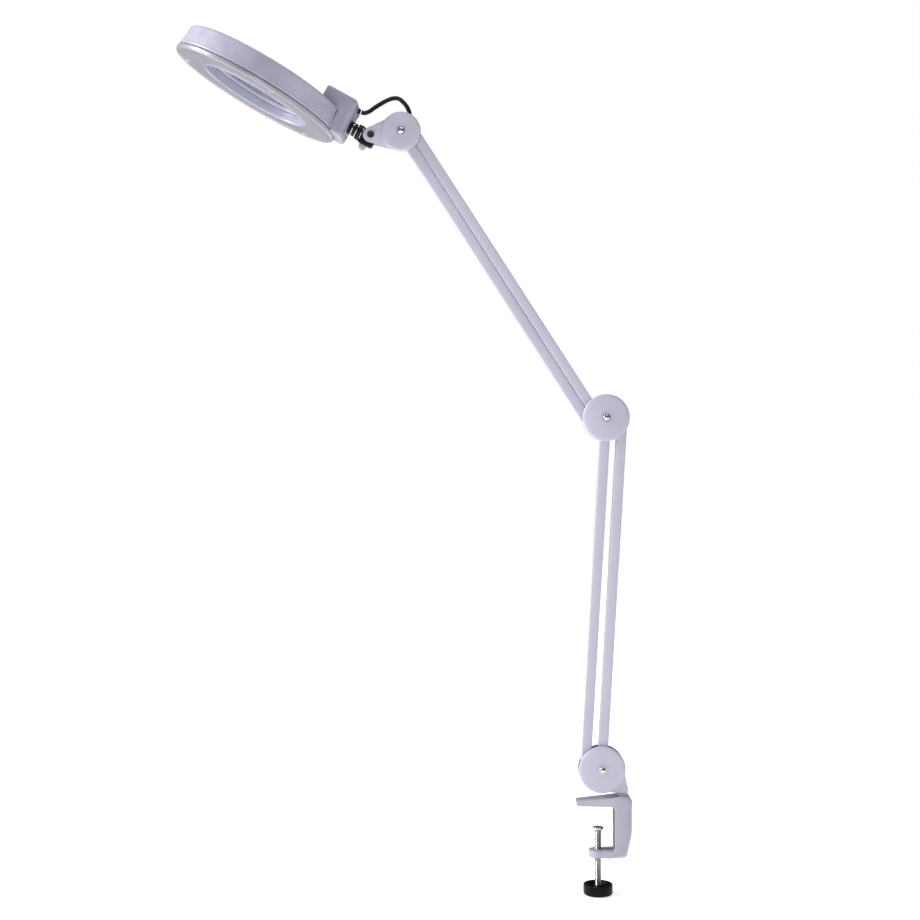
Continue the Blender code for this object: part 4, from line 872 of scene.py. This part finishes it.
ring_piece("shown_lens_ring", square_profile(LIP, BORE - GAP, SLEEVE_FOOT, LENS_RING_TOP),
           [1.0, 0.4, 0.4, 0.6], SHELL, "lens_ring")
ring_piece("shown_led_board", square_profile(BOARD_IN, BOARD_OUT, BOARD_LOW, BOARD_HIGH), [0.2] * 4, BOARD,
           "led_board")
share = np.linspace(0, 1, 30)
lens_top = np.stack([LENS_RADIUS * share, LENS_HIGH + BULGE * (1 - share ** 2)], 1)
lens_low = np.stack([LENS_RADIUS * share[::-1], LENS_LOW - BULGE * (1 - share[::-1] ** 2)], 1)
lens = lathe("shown_lens", np.concatenate([lens_top, lens_low]), RING, UP, Y, 128)
dress(lens, "head", GLASS, ["lens"])
print("lens", round(2 * LENS_RADIUS / MM), "mm across")

# %% [markdown]
# Three clear bosses hold the cover up. Each is a tiny turned button with a dimple.

# %% Bosses
BOSS_AT = 99.5 * MM
BOSS_BASE = 1.4 * MM
BOSS_COUNT = 3
FIRST_BEARING = -68


def boss_on_cover(number, bearing):
    """A small clear fixing boss on the ring cover, turned about the ring's own direction."""
    place = RING + BOSS_AT * (math.cos(bearing) * ALONG + math.sin(bearing) * Y)
    face = -0.05 * MM
    dimple = 0.35 * MM
    profile = [(0.0, BOSS_BASE), (3.6 * MM, BOSS_BASE), (3.6 * MM, 0.3 * MM), (2.9 * MM, face),
               (1.5 * MM, face), (1.2 * MM, dimple), (0.0, dimple)]
    item = lathe(f"shown_boss_{number}", soften(profile, 0.25 * MM, 3, closed=False), place, UP, Y, 28)
    return dress(item, "head", CLEAR, [])


for number in range(BOSS_COUNT):
    boss_on_cover(number + 1, math.radians(FIRST_BEARING + number * 360 / BOSS_COUNT))
print("bosses:", BOSS_COUNT)

# %% [markdown]
# Sixty small lamps sit on the board in one ring. They are repeated, so each is a plain low block, and one
# mesh holds them all. The diffuser hides their detail, but they show through it as a faint pattern.

# %% Ring of lamps
LAMP_COUNT = 60
LAMP_HALF = 1.75 * MM
LAMP_HEIGHT = 1.4 * MM
LAMP_RADIUS = 88 * MM
lamp_angle = np.linspace(0, 2 * np.pi, LAMP_COUNT, endpoint=False)
outward = np.cos(lamp_angle)[:, None] * ALONG + np.sin(lamp_angle)[:, None] * Y
beside = np.cross(UP, outward)
signs = np.array([(i, j, k) for k in (0, 1) for i, j in ((-1, -1), (1, -1), (1, 1), (-1, 1))], float)
offset = signs * (LAMP_HALF, LAMP_HALF, -LAMP_HEIGHT)
corner = (RING + LAMP_RADIUS * outward[:, None] + (BOARD_LOW - 0.05 * MM) * UP
          + offset[None, :, 0:1] * outward[:, None] + offset[None, :, 1:2] * beside[:, None]
          + offset[None, :, 2:3] * UP)
walls = [(k, (k + 1) % 4, (k + 1) % 4 + 4, k + 4) for k in range(4)]
block = np.array([(0, 1, 2, 3), (4, 5, 6, 7)] + walls)
lamp_faces = (block[None] + 8 * np.arange(LAMP_COUNT)[:, None, None]).reshape(-1, 4).tolist()
lamps = to_object("shown_lamps", corner.reshape(-1, 3), lamp_faces)
dress(lamps, "head", PALE, [])
print("lamps:", LAMP_COUNT)

# %% [markdown]
# The driver box is moulded with the drum. Seen from the side it is a rounded rectangle that steps over
# the drum's wall, and the step must follow the round wall. So its outline changes with depth: at each
# depth y the step lies at sqrt(R^2 - y^2) from the ring's axis.

# %% Driver box and its rear cover
BOX_HALF = 28.5 * MM
BOX_LEFT, BOX_RIGHT, BOX_LOW, BOX_HIGH = 78.0 * MM, 120.6 * MM, 4.0 * MM, 52.8 * MM
BOX_STEP, BOX_LEDGE = 6.3 * MM, 30.5 * MM
OUT_WELL, OUT_WALL = 110.4 * MM, 107.9 * MM
BOX_EDGE = 3.0 * MM
PLAN_CORNER = 4.0 * MM
LID_IN, LID_OUT, LID_EDGE, LID_CORNER = 116.8 * MM, 121.0 * MM, 2.0 * MM, 4.0 * MM
LID_SIDE_INSET, LID_END_INSET = 5.0 * MM, 3.6 * MM
SCREW_PLACES = [(y, level) for y in (-19 * MM, 19 * MM) for level in (12.5 * MM, 43.5 * MM)]


def driver_box(name, slices=33, steps=6):
    """Outlines at depths y, pulled in by a quarter circle near both sides, with a step that follows
    the drum's wall."""
    a = np.linspace(0, np.pi / 2, 9)
    near = -BOX_HALF + BOX_EDGE * (1 - np.cos(a))
    near_pull = BOX_EDGE * (1 - np.sin(a))
    middle = np.linspace(-BOX_HALF + BOX_EDGE, BOX_HALF - BOX_EDGE, slices)[1:-1]
    depth = np.concatenate([near, middle, -near[::-1]])
    pull = np.concatenate([near_pull, np.zeros(slices - 2), near_pull[::-1]])
    rows = []
    for y, inset in zip(depth, pull):
        well = math.sqrt(OUT_WELL ** 2 - y ** 2)
        wall = math.sqrt(OUT_WALL ** 2 - y ** 2)
        past = max(abs(y) - (BOX_HALF - PLAN_CORNER), 0.0)
        rear = BOX_RIGHT - PLAN_CORNER + math.sqrt(PLAN_CORNER ** 2 - past ** 2)
        outline = [(BOX_LEFT + inset, BOX_LEDGE), (wall, BOX_LEDGE), (wall, BOX_STEP), (well, BOX_STEP),
                   (well, BOX_LOW + inset), (rear, BOX_LOW + inset), (rear, BOX_HIGH - inset),
                   (BOX_LEFT + inset, BOX_HIGH - inset)]
        reach = np.array([0.5, 0.5, 0.2, 0.2, 0.5, 4.5, 5.5, 3.0]) * MM
        rows.append(soften(outline, reach, steps))
    flat = np.stack(rows)
    points = RING + flat[..., 0:1] * ALONG + depth[:, None, None] * Y + flat[..., 1:2] * UP
    return to_object(name, points.reshape(-1, 3), capped_faces(len(depth), flat.shape[1]))


# Box and cover take the darker copy of the drum's plastic: painted shade.
dress(driver_box("shown_driver_box"), "head", SHADED_BOX_SHELL, ["head_housing"])
lid_low = (LID_SIDE_INSET - BOX_HALF, BOX_LOW + LID_END_INSET)
lid_high = (BOX_HALF - LID_SIDE_INSET, BOX_HIGH - LID_END_INSET)
lid_outline = rectangle(lid_low, lid_high, LID_CORNER, 10)
lid = slab("shown_box_cover", lid_outline, LID_IN, LID_OUT, LID_EDGE, RING, Y, UP, ALONG)
dress(lid, "head", SHADED_BOX_SHELL, ["box_cover"])
repaint(["driver_board"], BOARD)
repaint(["spindle_nut"], ZINC)
screw_seat = LID_OUT - 0.1 * MM
screw_tip = screw_seat - 7.3 * MM
slot_floor = screw_seat + 0.4 * MM
screw_profile = [(0.0, screw_tip), (1.3 * MM, screw_tip), (1.3 * MM, screw_seat), (2.6 * MM, screw_seat),
                 (2.3 * MM, screw_seat + 0.6 * MM), (1.2 * MM, screw_seat + 0.8 * MM), (0.9 * MM, slot_floor),
                 (0.0, slot_floor)]
for number, (y, level) in enumerate(SCREW_PLACES, start=1):
    screw = lathe(f"shown_box_screw_{number}", soften(screw_profile, 0.2 * MM, 3, closed=False),
                  RING + y * Y + level * UP, ALONG, Y, 32)
    dress(screw, "head", DULL, [f"box_screw_{number}"])
print("box, cover and screws made")

# %% [markdown]
# The switch is a rocker: two faces that meet in a shallow valley. It sits in the box's top.

# %% Rocker switch
SWITCH_AT = RING + 98 * MM * ALONG + BOX_HIGH * UP
ROCKER_HALF, ROCKER_HALF_WIDTH = 10 * MM, 5.5 * MM
ROCKER_FOOT, ROCKER_VALLEY, ROCKER_TOP = -2.2 * MM, 1.0 * MM, 2.4 * MM
rocker_points = [(-ROCKER_HALF, ROCKER_FOOT), (ROCKER_HALF, ROCKER_FOOT), (ROCKER_HALF, ROCKER_TOP),
                 (0, ROCKER_VALLEY), (-ROCKER_HALF, ROCKER_TOP)]
rocker_outline = soften(rocker_points, np.array([0.3, 0.3, 0.9, 3.0, 0.9]) * MM, 6)
rocker = slab("shown_rocker", rocker_outline, -ROCKER_HALF_WIDTH, ROCKER_HALF_WIDTH, 0.6 * MM, SWITCH_AT,
              ALONG, UP, Y)
dress(rocker, "rocker_switch", BLACK, ["rocker_switch"])
print("rocker made")

# %% [markdown]
# ## The tilt and swivel joint
# A black block sits between the yoke's cheeks. Its tongue takes the tilt bolt, and its boss meets the
# box's spindle with polished washers between. The thumb knob below locks the swivel.

# %% Swivel block, washers and spindle
TONGUE_LOW, TONGUE_HIGH, TONGUE_CORNER = (-12 * MM, -14.4 * MM), (8 * MM, 5 * MM), 2.5 * MM
STUD_HOLE = 3.3 * MM
BOSS_RADIUS = 9.6 * MM
SLEEVE_RADIUS = 8.0 * MM
tongue_outline = rectangle(TONGUE_LOW, TONGUE_HIGH, TONGUE_CORNER)
tongue = slab("shown_tongue", tongue_outline, -BAR_HALF, BAR_HALF, 0.7 * MM, TILT, ALONG, UP, Y)
dress(tongue, "swivel_block", BLACK, ["swivel_block"])


def swivel_turned(name, profile, reach, body, material, nodes):
    """A profile in (radius, distance along the swivel axis from the tilt bolt), turned about it."""
    item = lathe(name, soften(profile, reach * MM, 4, closed=False), SWIVEL, ALONG, Y, 96)
    return dress(item, body, material, nodes)


def washer_profile(hole, radius, back, front):
    """A closed square section from the arm's side to the head's side, both in mm from the tilt bolt."""
    back, front = back * MM, front * MM
    return [(hole, back), (radius, back), (radius, front), (hole, front), (hole, back)]


swivel_turned("shown_boss", washer_profile(STUD_HOLE, BOSS_RADIUS, -10.9, -16.6), 0.7, "swivel_block",
              BLACK, ["swivel_block"])
swivel_turned("shown_boss_ring", washer_profile(STUD_HOLE, BOSS_RADIUS - 0.8 * MM, -10.3, -11.2), 0.25,
              "swivel_block", CHROME, [])
swivel_turned("shown_washer", washer_profile(STUD_HOLE, BOSS_RADIUS - 0.1 * MM, -16.9, -17.8), 0.25,
              "swivel_block", CHROME, ["swivel_washer"])
stud = SHANK
sleeve_back, sleeve_front = -18.2 * MM, -28.2 * MM
stud_back, stud_front = -12.2 * MM, -35 * MM
spindle_profile = [(0, stud_back), (stud, stud_back), (stud, sleeve_back), (SLEEVE_RADIUS, sleeve_back),
                   (SLEEVE_RADIUS, sleeve_front), (stud, sleeve_front), (stud, stud_front), (0, stud_front)]
swivel_turned("shown_spindle", spindle_profile, 0.4, "head", BLACK, ["swivel_spindle"])
swivel_turned("shown_sleeve_ring", washer_profile(7.4 * MM, SLEEVE_RADIUS + 0.15 * MM, -22.6, -23.6), 0.2,
              "head", CHROME, [])
print("swivel joint made")

# %% [markdown]
# The locking knob is pale plastic with a knurled grip, so that fingers can turn it. The knurl is a small
# wave in the radius, only where the radius is the grip's. The tilt bolt is blackened steel with a socket.

# %% Thumb knob and tilt bolt
THUMB_AT = pivot("thumb_turn")
THUMB_STEM, THUMB_GRIP, THUMB_TIP = 1.7 * MM, 4.4 * MM, 3.0 * MM
STEM_TOP, THUMB_SEAT, GRIP_TOP, GRIP_END = -7.4 * MM, -14.7 * MM, -15.5 * MM, -18.7 * MM
TIP_END, THUMB_END = -21.3 * MM, -22.1 * MM
KNURL = 0.1 * MM


def knurled(name, steps=96, ridges=20):
    """A turned knob whose radius swells by depth * cos(ridges * a) on its grip."""
    profile = [(0, STEM_TOP), (THUMB_STEM, STEM_TOP), (THUMB_STEM, THUMB_SEAT),
               (THUMB_GRIP - 0.4 * MM, THUMB_SEAT), (THUMB_GRIP, GRIP_TOP), (THUMB_GRIP, GRIP_END),
               (THUMB_TIP, TIP_END), (0, THUMB_END)]
    grip = soften(profile, 0.7 * MM, 5, closed=False)
    angle = np.linspace(0, 2 * np.pi, steps, endpoint=False)
    on_grip = grip[None, :, 0] > THUMB_GRIP - 0.7 * MM
    radius = grip[None, :, 0] + KNURL * np.cos(ridges * angle)[:, None] * on_grip
    ring = np.cos(angle)[:, None] * ALONG + np.sin(angle)[:, None] * Y
    points = THUMB_AT + radius[..., None] * ring[:, None] + grip[None, :, 1:2] * UP
    return to_object(name, points.reshape(-1, 3), grid_faces(steps, len(grip), True, False))


dress(knurled("shown_thumb_knob"), "thumb_knob", PALE, ["thumb_knob"])
BOLT_SHANK, BOLT_HEAD, SOCKET = 2.8 * MM, 4.3 * MM, 2.6 * MM
BOLT_SEAT = PLATE_OUT + GAP
BOLT_END = -8.3 * MM
head_face = BOLT_SEAT + 2.0 * MM
socket_floor = BOLT_SEAT + 1.2 * MM
tilt_profile = [(0.0, BOLT_END), (BOLT_SHANK, BOLT_END), (BOLT_SHANK, BOLT_SEAT), (BOLT_HEAD, BOLT_SEAT),
                (BOLT_HEAD, head_face), (SOCKET, head_face), (2.1 * MM, socket_floor), (0.0, socket_floor)]
tilt = lathe("shown_tilt_bolt", soften(tilt_profile, 0.35 * MM, 4, closed=False), TILT, -Y, X, 48)
dress(tilt, "head_bracket", BLACKENED, ["tilt_bolt"])
print("thumb knob and tilt bolt made")

# %% [markdown]
# ## The lead
# A short lead carries the current from the arm to the box. It leaves the gland, sags, climbs and goes
# down into a block behind the head cover. The real lead bends when the head tilts or swivels; here it is
# two fixed stretches that meet on the swivel block, baked in place and not carried by any body.

# %% Lead
LEAD_RADIUS = 2.7 * MM
MEETING = (-255.6, 14.2, 879.6)
HEAD_ROUTE = np.array([(-293.5, 0, 859), (-289.4, 0.6, 858.1), (-283.4, 3, 860.8), (-277, 6, 866.2),
                       (-270, 9, 871.4), (-262.3, 12, 876.5), MEETING]) * MM
ARM_ROUTE = np.array([MEETING, (-251, 15.2, 880.1), (-246.8, 15.5, 879), (-241.9, 15.6, 875),
                      (-237.5, 15.6, 869.4), (-234.8, 15.6, 863.6), (-233.4, 15.6, 857),
                      (-233, 15.6, 847)]) * MM


def smooth_path(route, per_span=6):
    """A Catmull-Rom curve through the route: on each span, a cubic in t from its four points."""
    ends = np.concatenate([[2 * route[0] - route[1]], route, [2 * route[-1] - route[-2]]])
    t = np.linspace(0, 1, per_span, endpoint=False)[None, :, None]
    before, start, end, after = (ends[k:len(route) - 1 + k, None] for k in range(4))
    square = 2 * before - 5 * start + 4 * end - after
    cube = 3 * start - before - 3 * end + after
    spans = 0.5 * (2 * start + (end - before) * t + square * t ** 2 + cube * t ** 3)
    return np.concatenate([spans.reshape(-1, 3), route[-1:]])


def path_length(path):
    """The summed lengths of a path's segments."""
    return float(np.sum(np.linalg.norm(np.diff(path, axis=0), axis=1)))


LEADS = [("head_side", HEAD_ROUTE, "head", "swivel_block"),
         ("arm_side", ARM_ROUTE, "swivel_block", "head_bracket")]
for name, route, first_body, last_body in LEADS:
    path = smooth_path(route)
    stretch = tube("shown_lead_" + name, path, LEAD_RADIUS, 24)
    stretch.data.materials.append(RUBBER)
    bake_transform(stretch)
    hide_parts("lead_" + name)
    print("lead", name, round(path_length(path) / MM, 1), "mm")

# %% [markdown]
# The gland is the tapered sleeve that keeps the lead from chafing where it leaves the box. At the other
# end the lead goes into a small moulded block behind the head's cover.

# %% Gland and clip
GLAND_AT = RING + 46.6 * MM * UP
GLAND_BORE, GLAND_NECK, GLAND_RADIUS, GLAND_TIP = 2.9 * MM, 3.5 * MM, 3.6 * MM, 3.1 * MM
GLAND_TAIL, GLAND_END = LID_IN, 123.6 * MM
CLIP_LOW, CLIP_HIGH = (-238.2 * MM, 834 * MM), (-227.8 * MM, 853 * MM)
CLIP_DEPTH = 20 * MM
gland_profile = [(GLAND_BORE, GLAND_TAIL), (GLAND_NECK, GLAND_TAIL), (GLAND_RADIUS, LID_OUT + 0.15 * MM),
                 (GLAND_RADIUS, LID_OUT + 0.8 * MM), (GLAND_TIP, GLAND_END), (GLAND_BORE, GLAND_END),
                 (GLAND_BORE, GLAND_TAIL)]
gland = lathe("shown_gland", soften(gland_profile, 0.4 * MM, 4, closed=False), GLAND_AT, ALONG, Y, 64)
dress(gland, "head", BLACK, ["lead_gland"])
clip_outline = rectangle(CLIP_LOW, CLIP_HIGH, 2.0 * MM)
clip = slab("shown_clip", clip_outline, SEAT, CLIP_DEPTH, 0.9 * MM, np.zeros(3), X, Z, Y)
dress(clip, "head_bracket", BLACK, ["lead_clip"])
print("gland and clip made")

# %% [markdown]
# ## Floor and light
# The lamp hangs over a plain pale floor in an open white studio. The surround looks white to the camera
# but lights the lamp only weakly, as a dim room would, so chrome keeps its dark reflections. One large soft
# light from the left does most of the work, and weaker ones in front and above open the shadows. The
# floor glows a little, and more so further out, so that it fades into the white without a horizon.

# %% Stage and lights
FLOOR_Z = -111 * MM
FLOOR_HALF = 6.0
FLOOR_GLOW = 0.7
GLOW_FROM, GLOW_TO = 0.5, 2.0
corners = np.array([(-1, -1), (1, -1), (1, 1), (-1, 1)], float) * FLOOR_HALF
floor = to_object("floor", np.column_stack([corners, np.full(4, FLOOR_Z)]), [[0, 1, 2, 3]])
FLOOR_FINISH, floor_tree, floor_shader = base_material(
    "pale_floor", (0.93, 0.93, 0.93), 0.8, Emission_Strength=FLOOR_GLOW)
floor_shader.inputs["Emission Color"].default_value = (1, 1, 1, 1)
far_glow = floor_tree.nodes.new("ShaderNodeMapRange")
far_glow.inputs["From Min"].default_value = GLOW_FROM
far_glow.inputs["From Max"].default_value = GLOW_TO
far_glow.inputs["To Min"].default_value = FLOOR_GLOW
far_glow.inputs["To Max"].default_value = 1.0
floor_place = floor_tree.nodes.new("ShaderNodeTexCoord")
from_lamp = floor_tree.nodes.new("ShaderNodeVectorMath")
from_lamp.operation = "LENGTH"
floor_tree.links.new(floor_place.outputs["Object"], from_lamp.inputs[0])
floor_tree.links.new(from_lamp.outputs["Value"], far_glow.inputs["Value"])
floor_tree.links.new(far_glow.outputs["Result"], floor_shader.inputs["Emission Strength"])
floor.data.materials.append(FLOOR_FINISH)


def soft_light(name, place, target, size, power):
    """A square area light that faces a target."""
    data = bpy.data.lights.new(name, "AREA")
    data.size = size
    data.energy = power
    lamp = bpy.data.objects.new(name, data)
    lamp.location = place
    aim = Vector(target) - Vector(place)
    lamp.rotation_euler = aim.to_track_quat("-Z", "Y").to_euler()
    bpy.context.collection.objects.link(lamp)


AIM = (-0.15, 0.0, 0.45)
soft_light("key", (-2.5, -0.25, 1.6), AIM, 0.9, 78)
soft_light("front", (-0.5, -2.8, 0.3), (0.0, 0.0, 0.3), 1.0, 9.5)
soft_light("top", (0.2, -0.3, 2.9), AIM, 1.4, 18)
world = bpy.data.worlds.new("studio")
bpy.context.scene.world = world
world.use_nodes = True
world_tree = world.node_tree
room = world_tree.nodes["Background"]
room.inputs["Color"].default_value = (0.9, 0.92, 1.0, 1)
room.inputs["Strength"].default_value = 0.2
backdrop = world_tree.nodes.new("ShaderNodeBackground")
backdrop.inputs["Color"].default_value = (1, 1, 1, 1)
backdrop.inputs["Strength"].default_value = 1.0
ray = world_tree.nodes.new("ShaderNodeLightPath")
choose = world_tree.nodes.new("ShaderNodeMixShader")
world_tree.links.new(ray.outputs["Is Camera Ray"], choose.inputs["Fac"])
world_tree.links.new(room.outputs["Background"], choose.inputs[1])
world_tree.links.new(backdrop.outputs["Background"], choose.inputs[2])
world_tree.links.new(choose.outputs["Shader"], world_tree.nodes["World Output"].inputs["Surface"])
print("stage set")
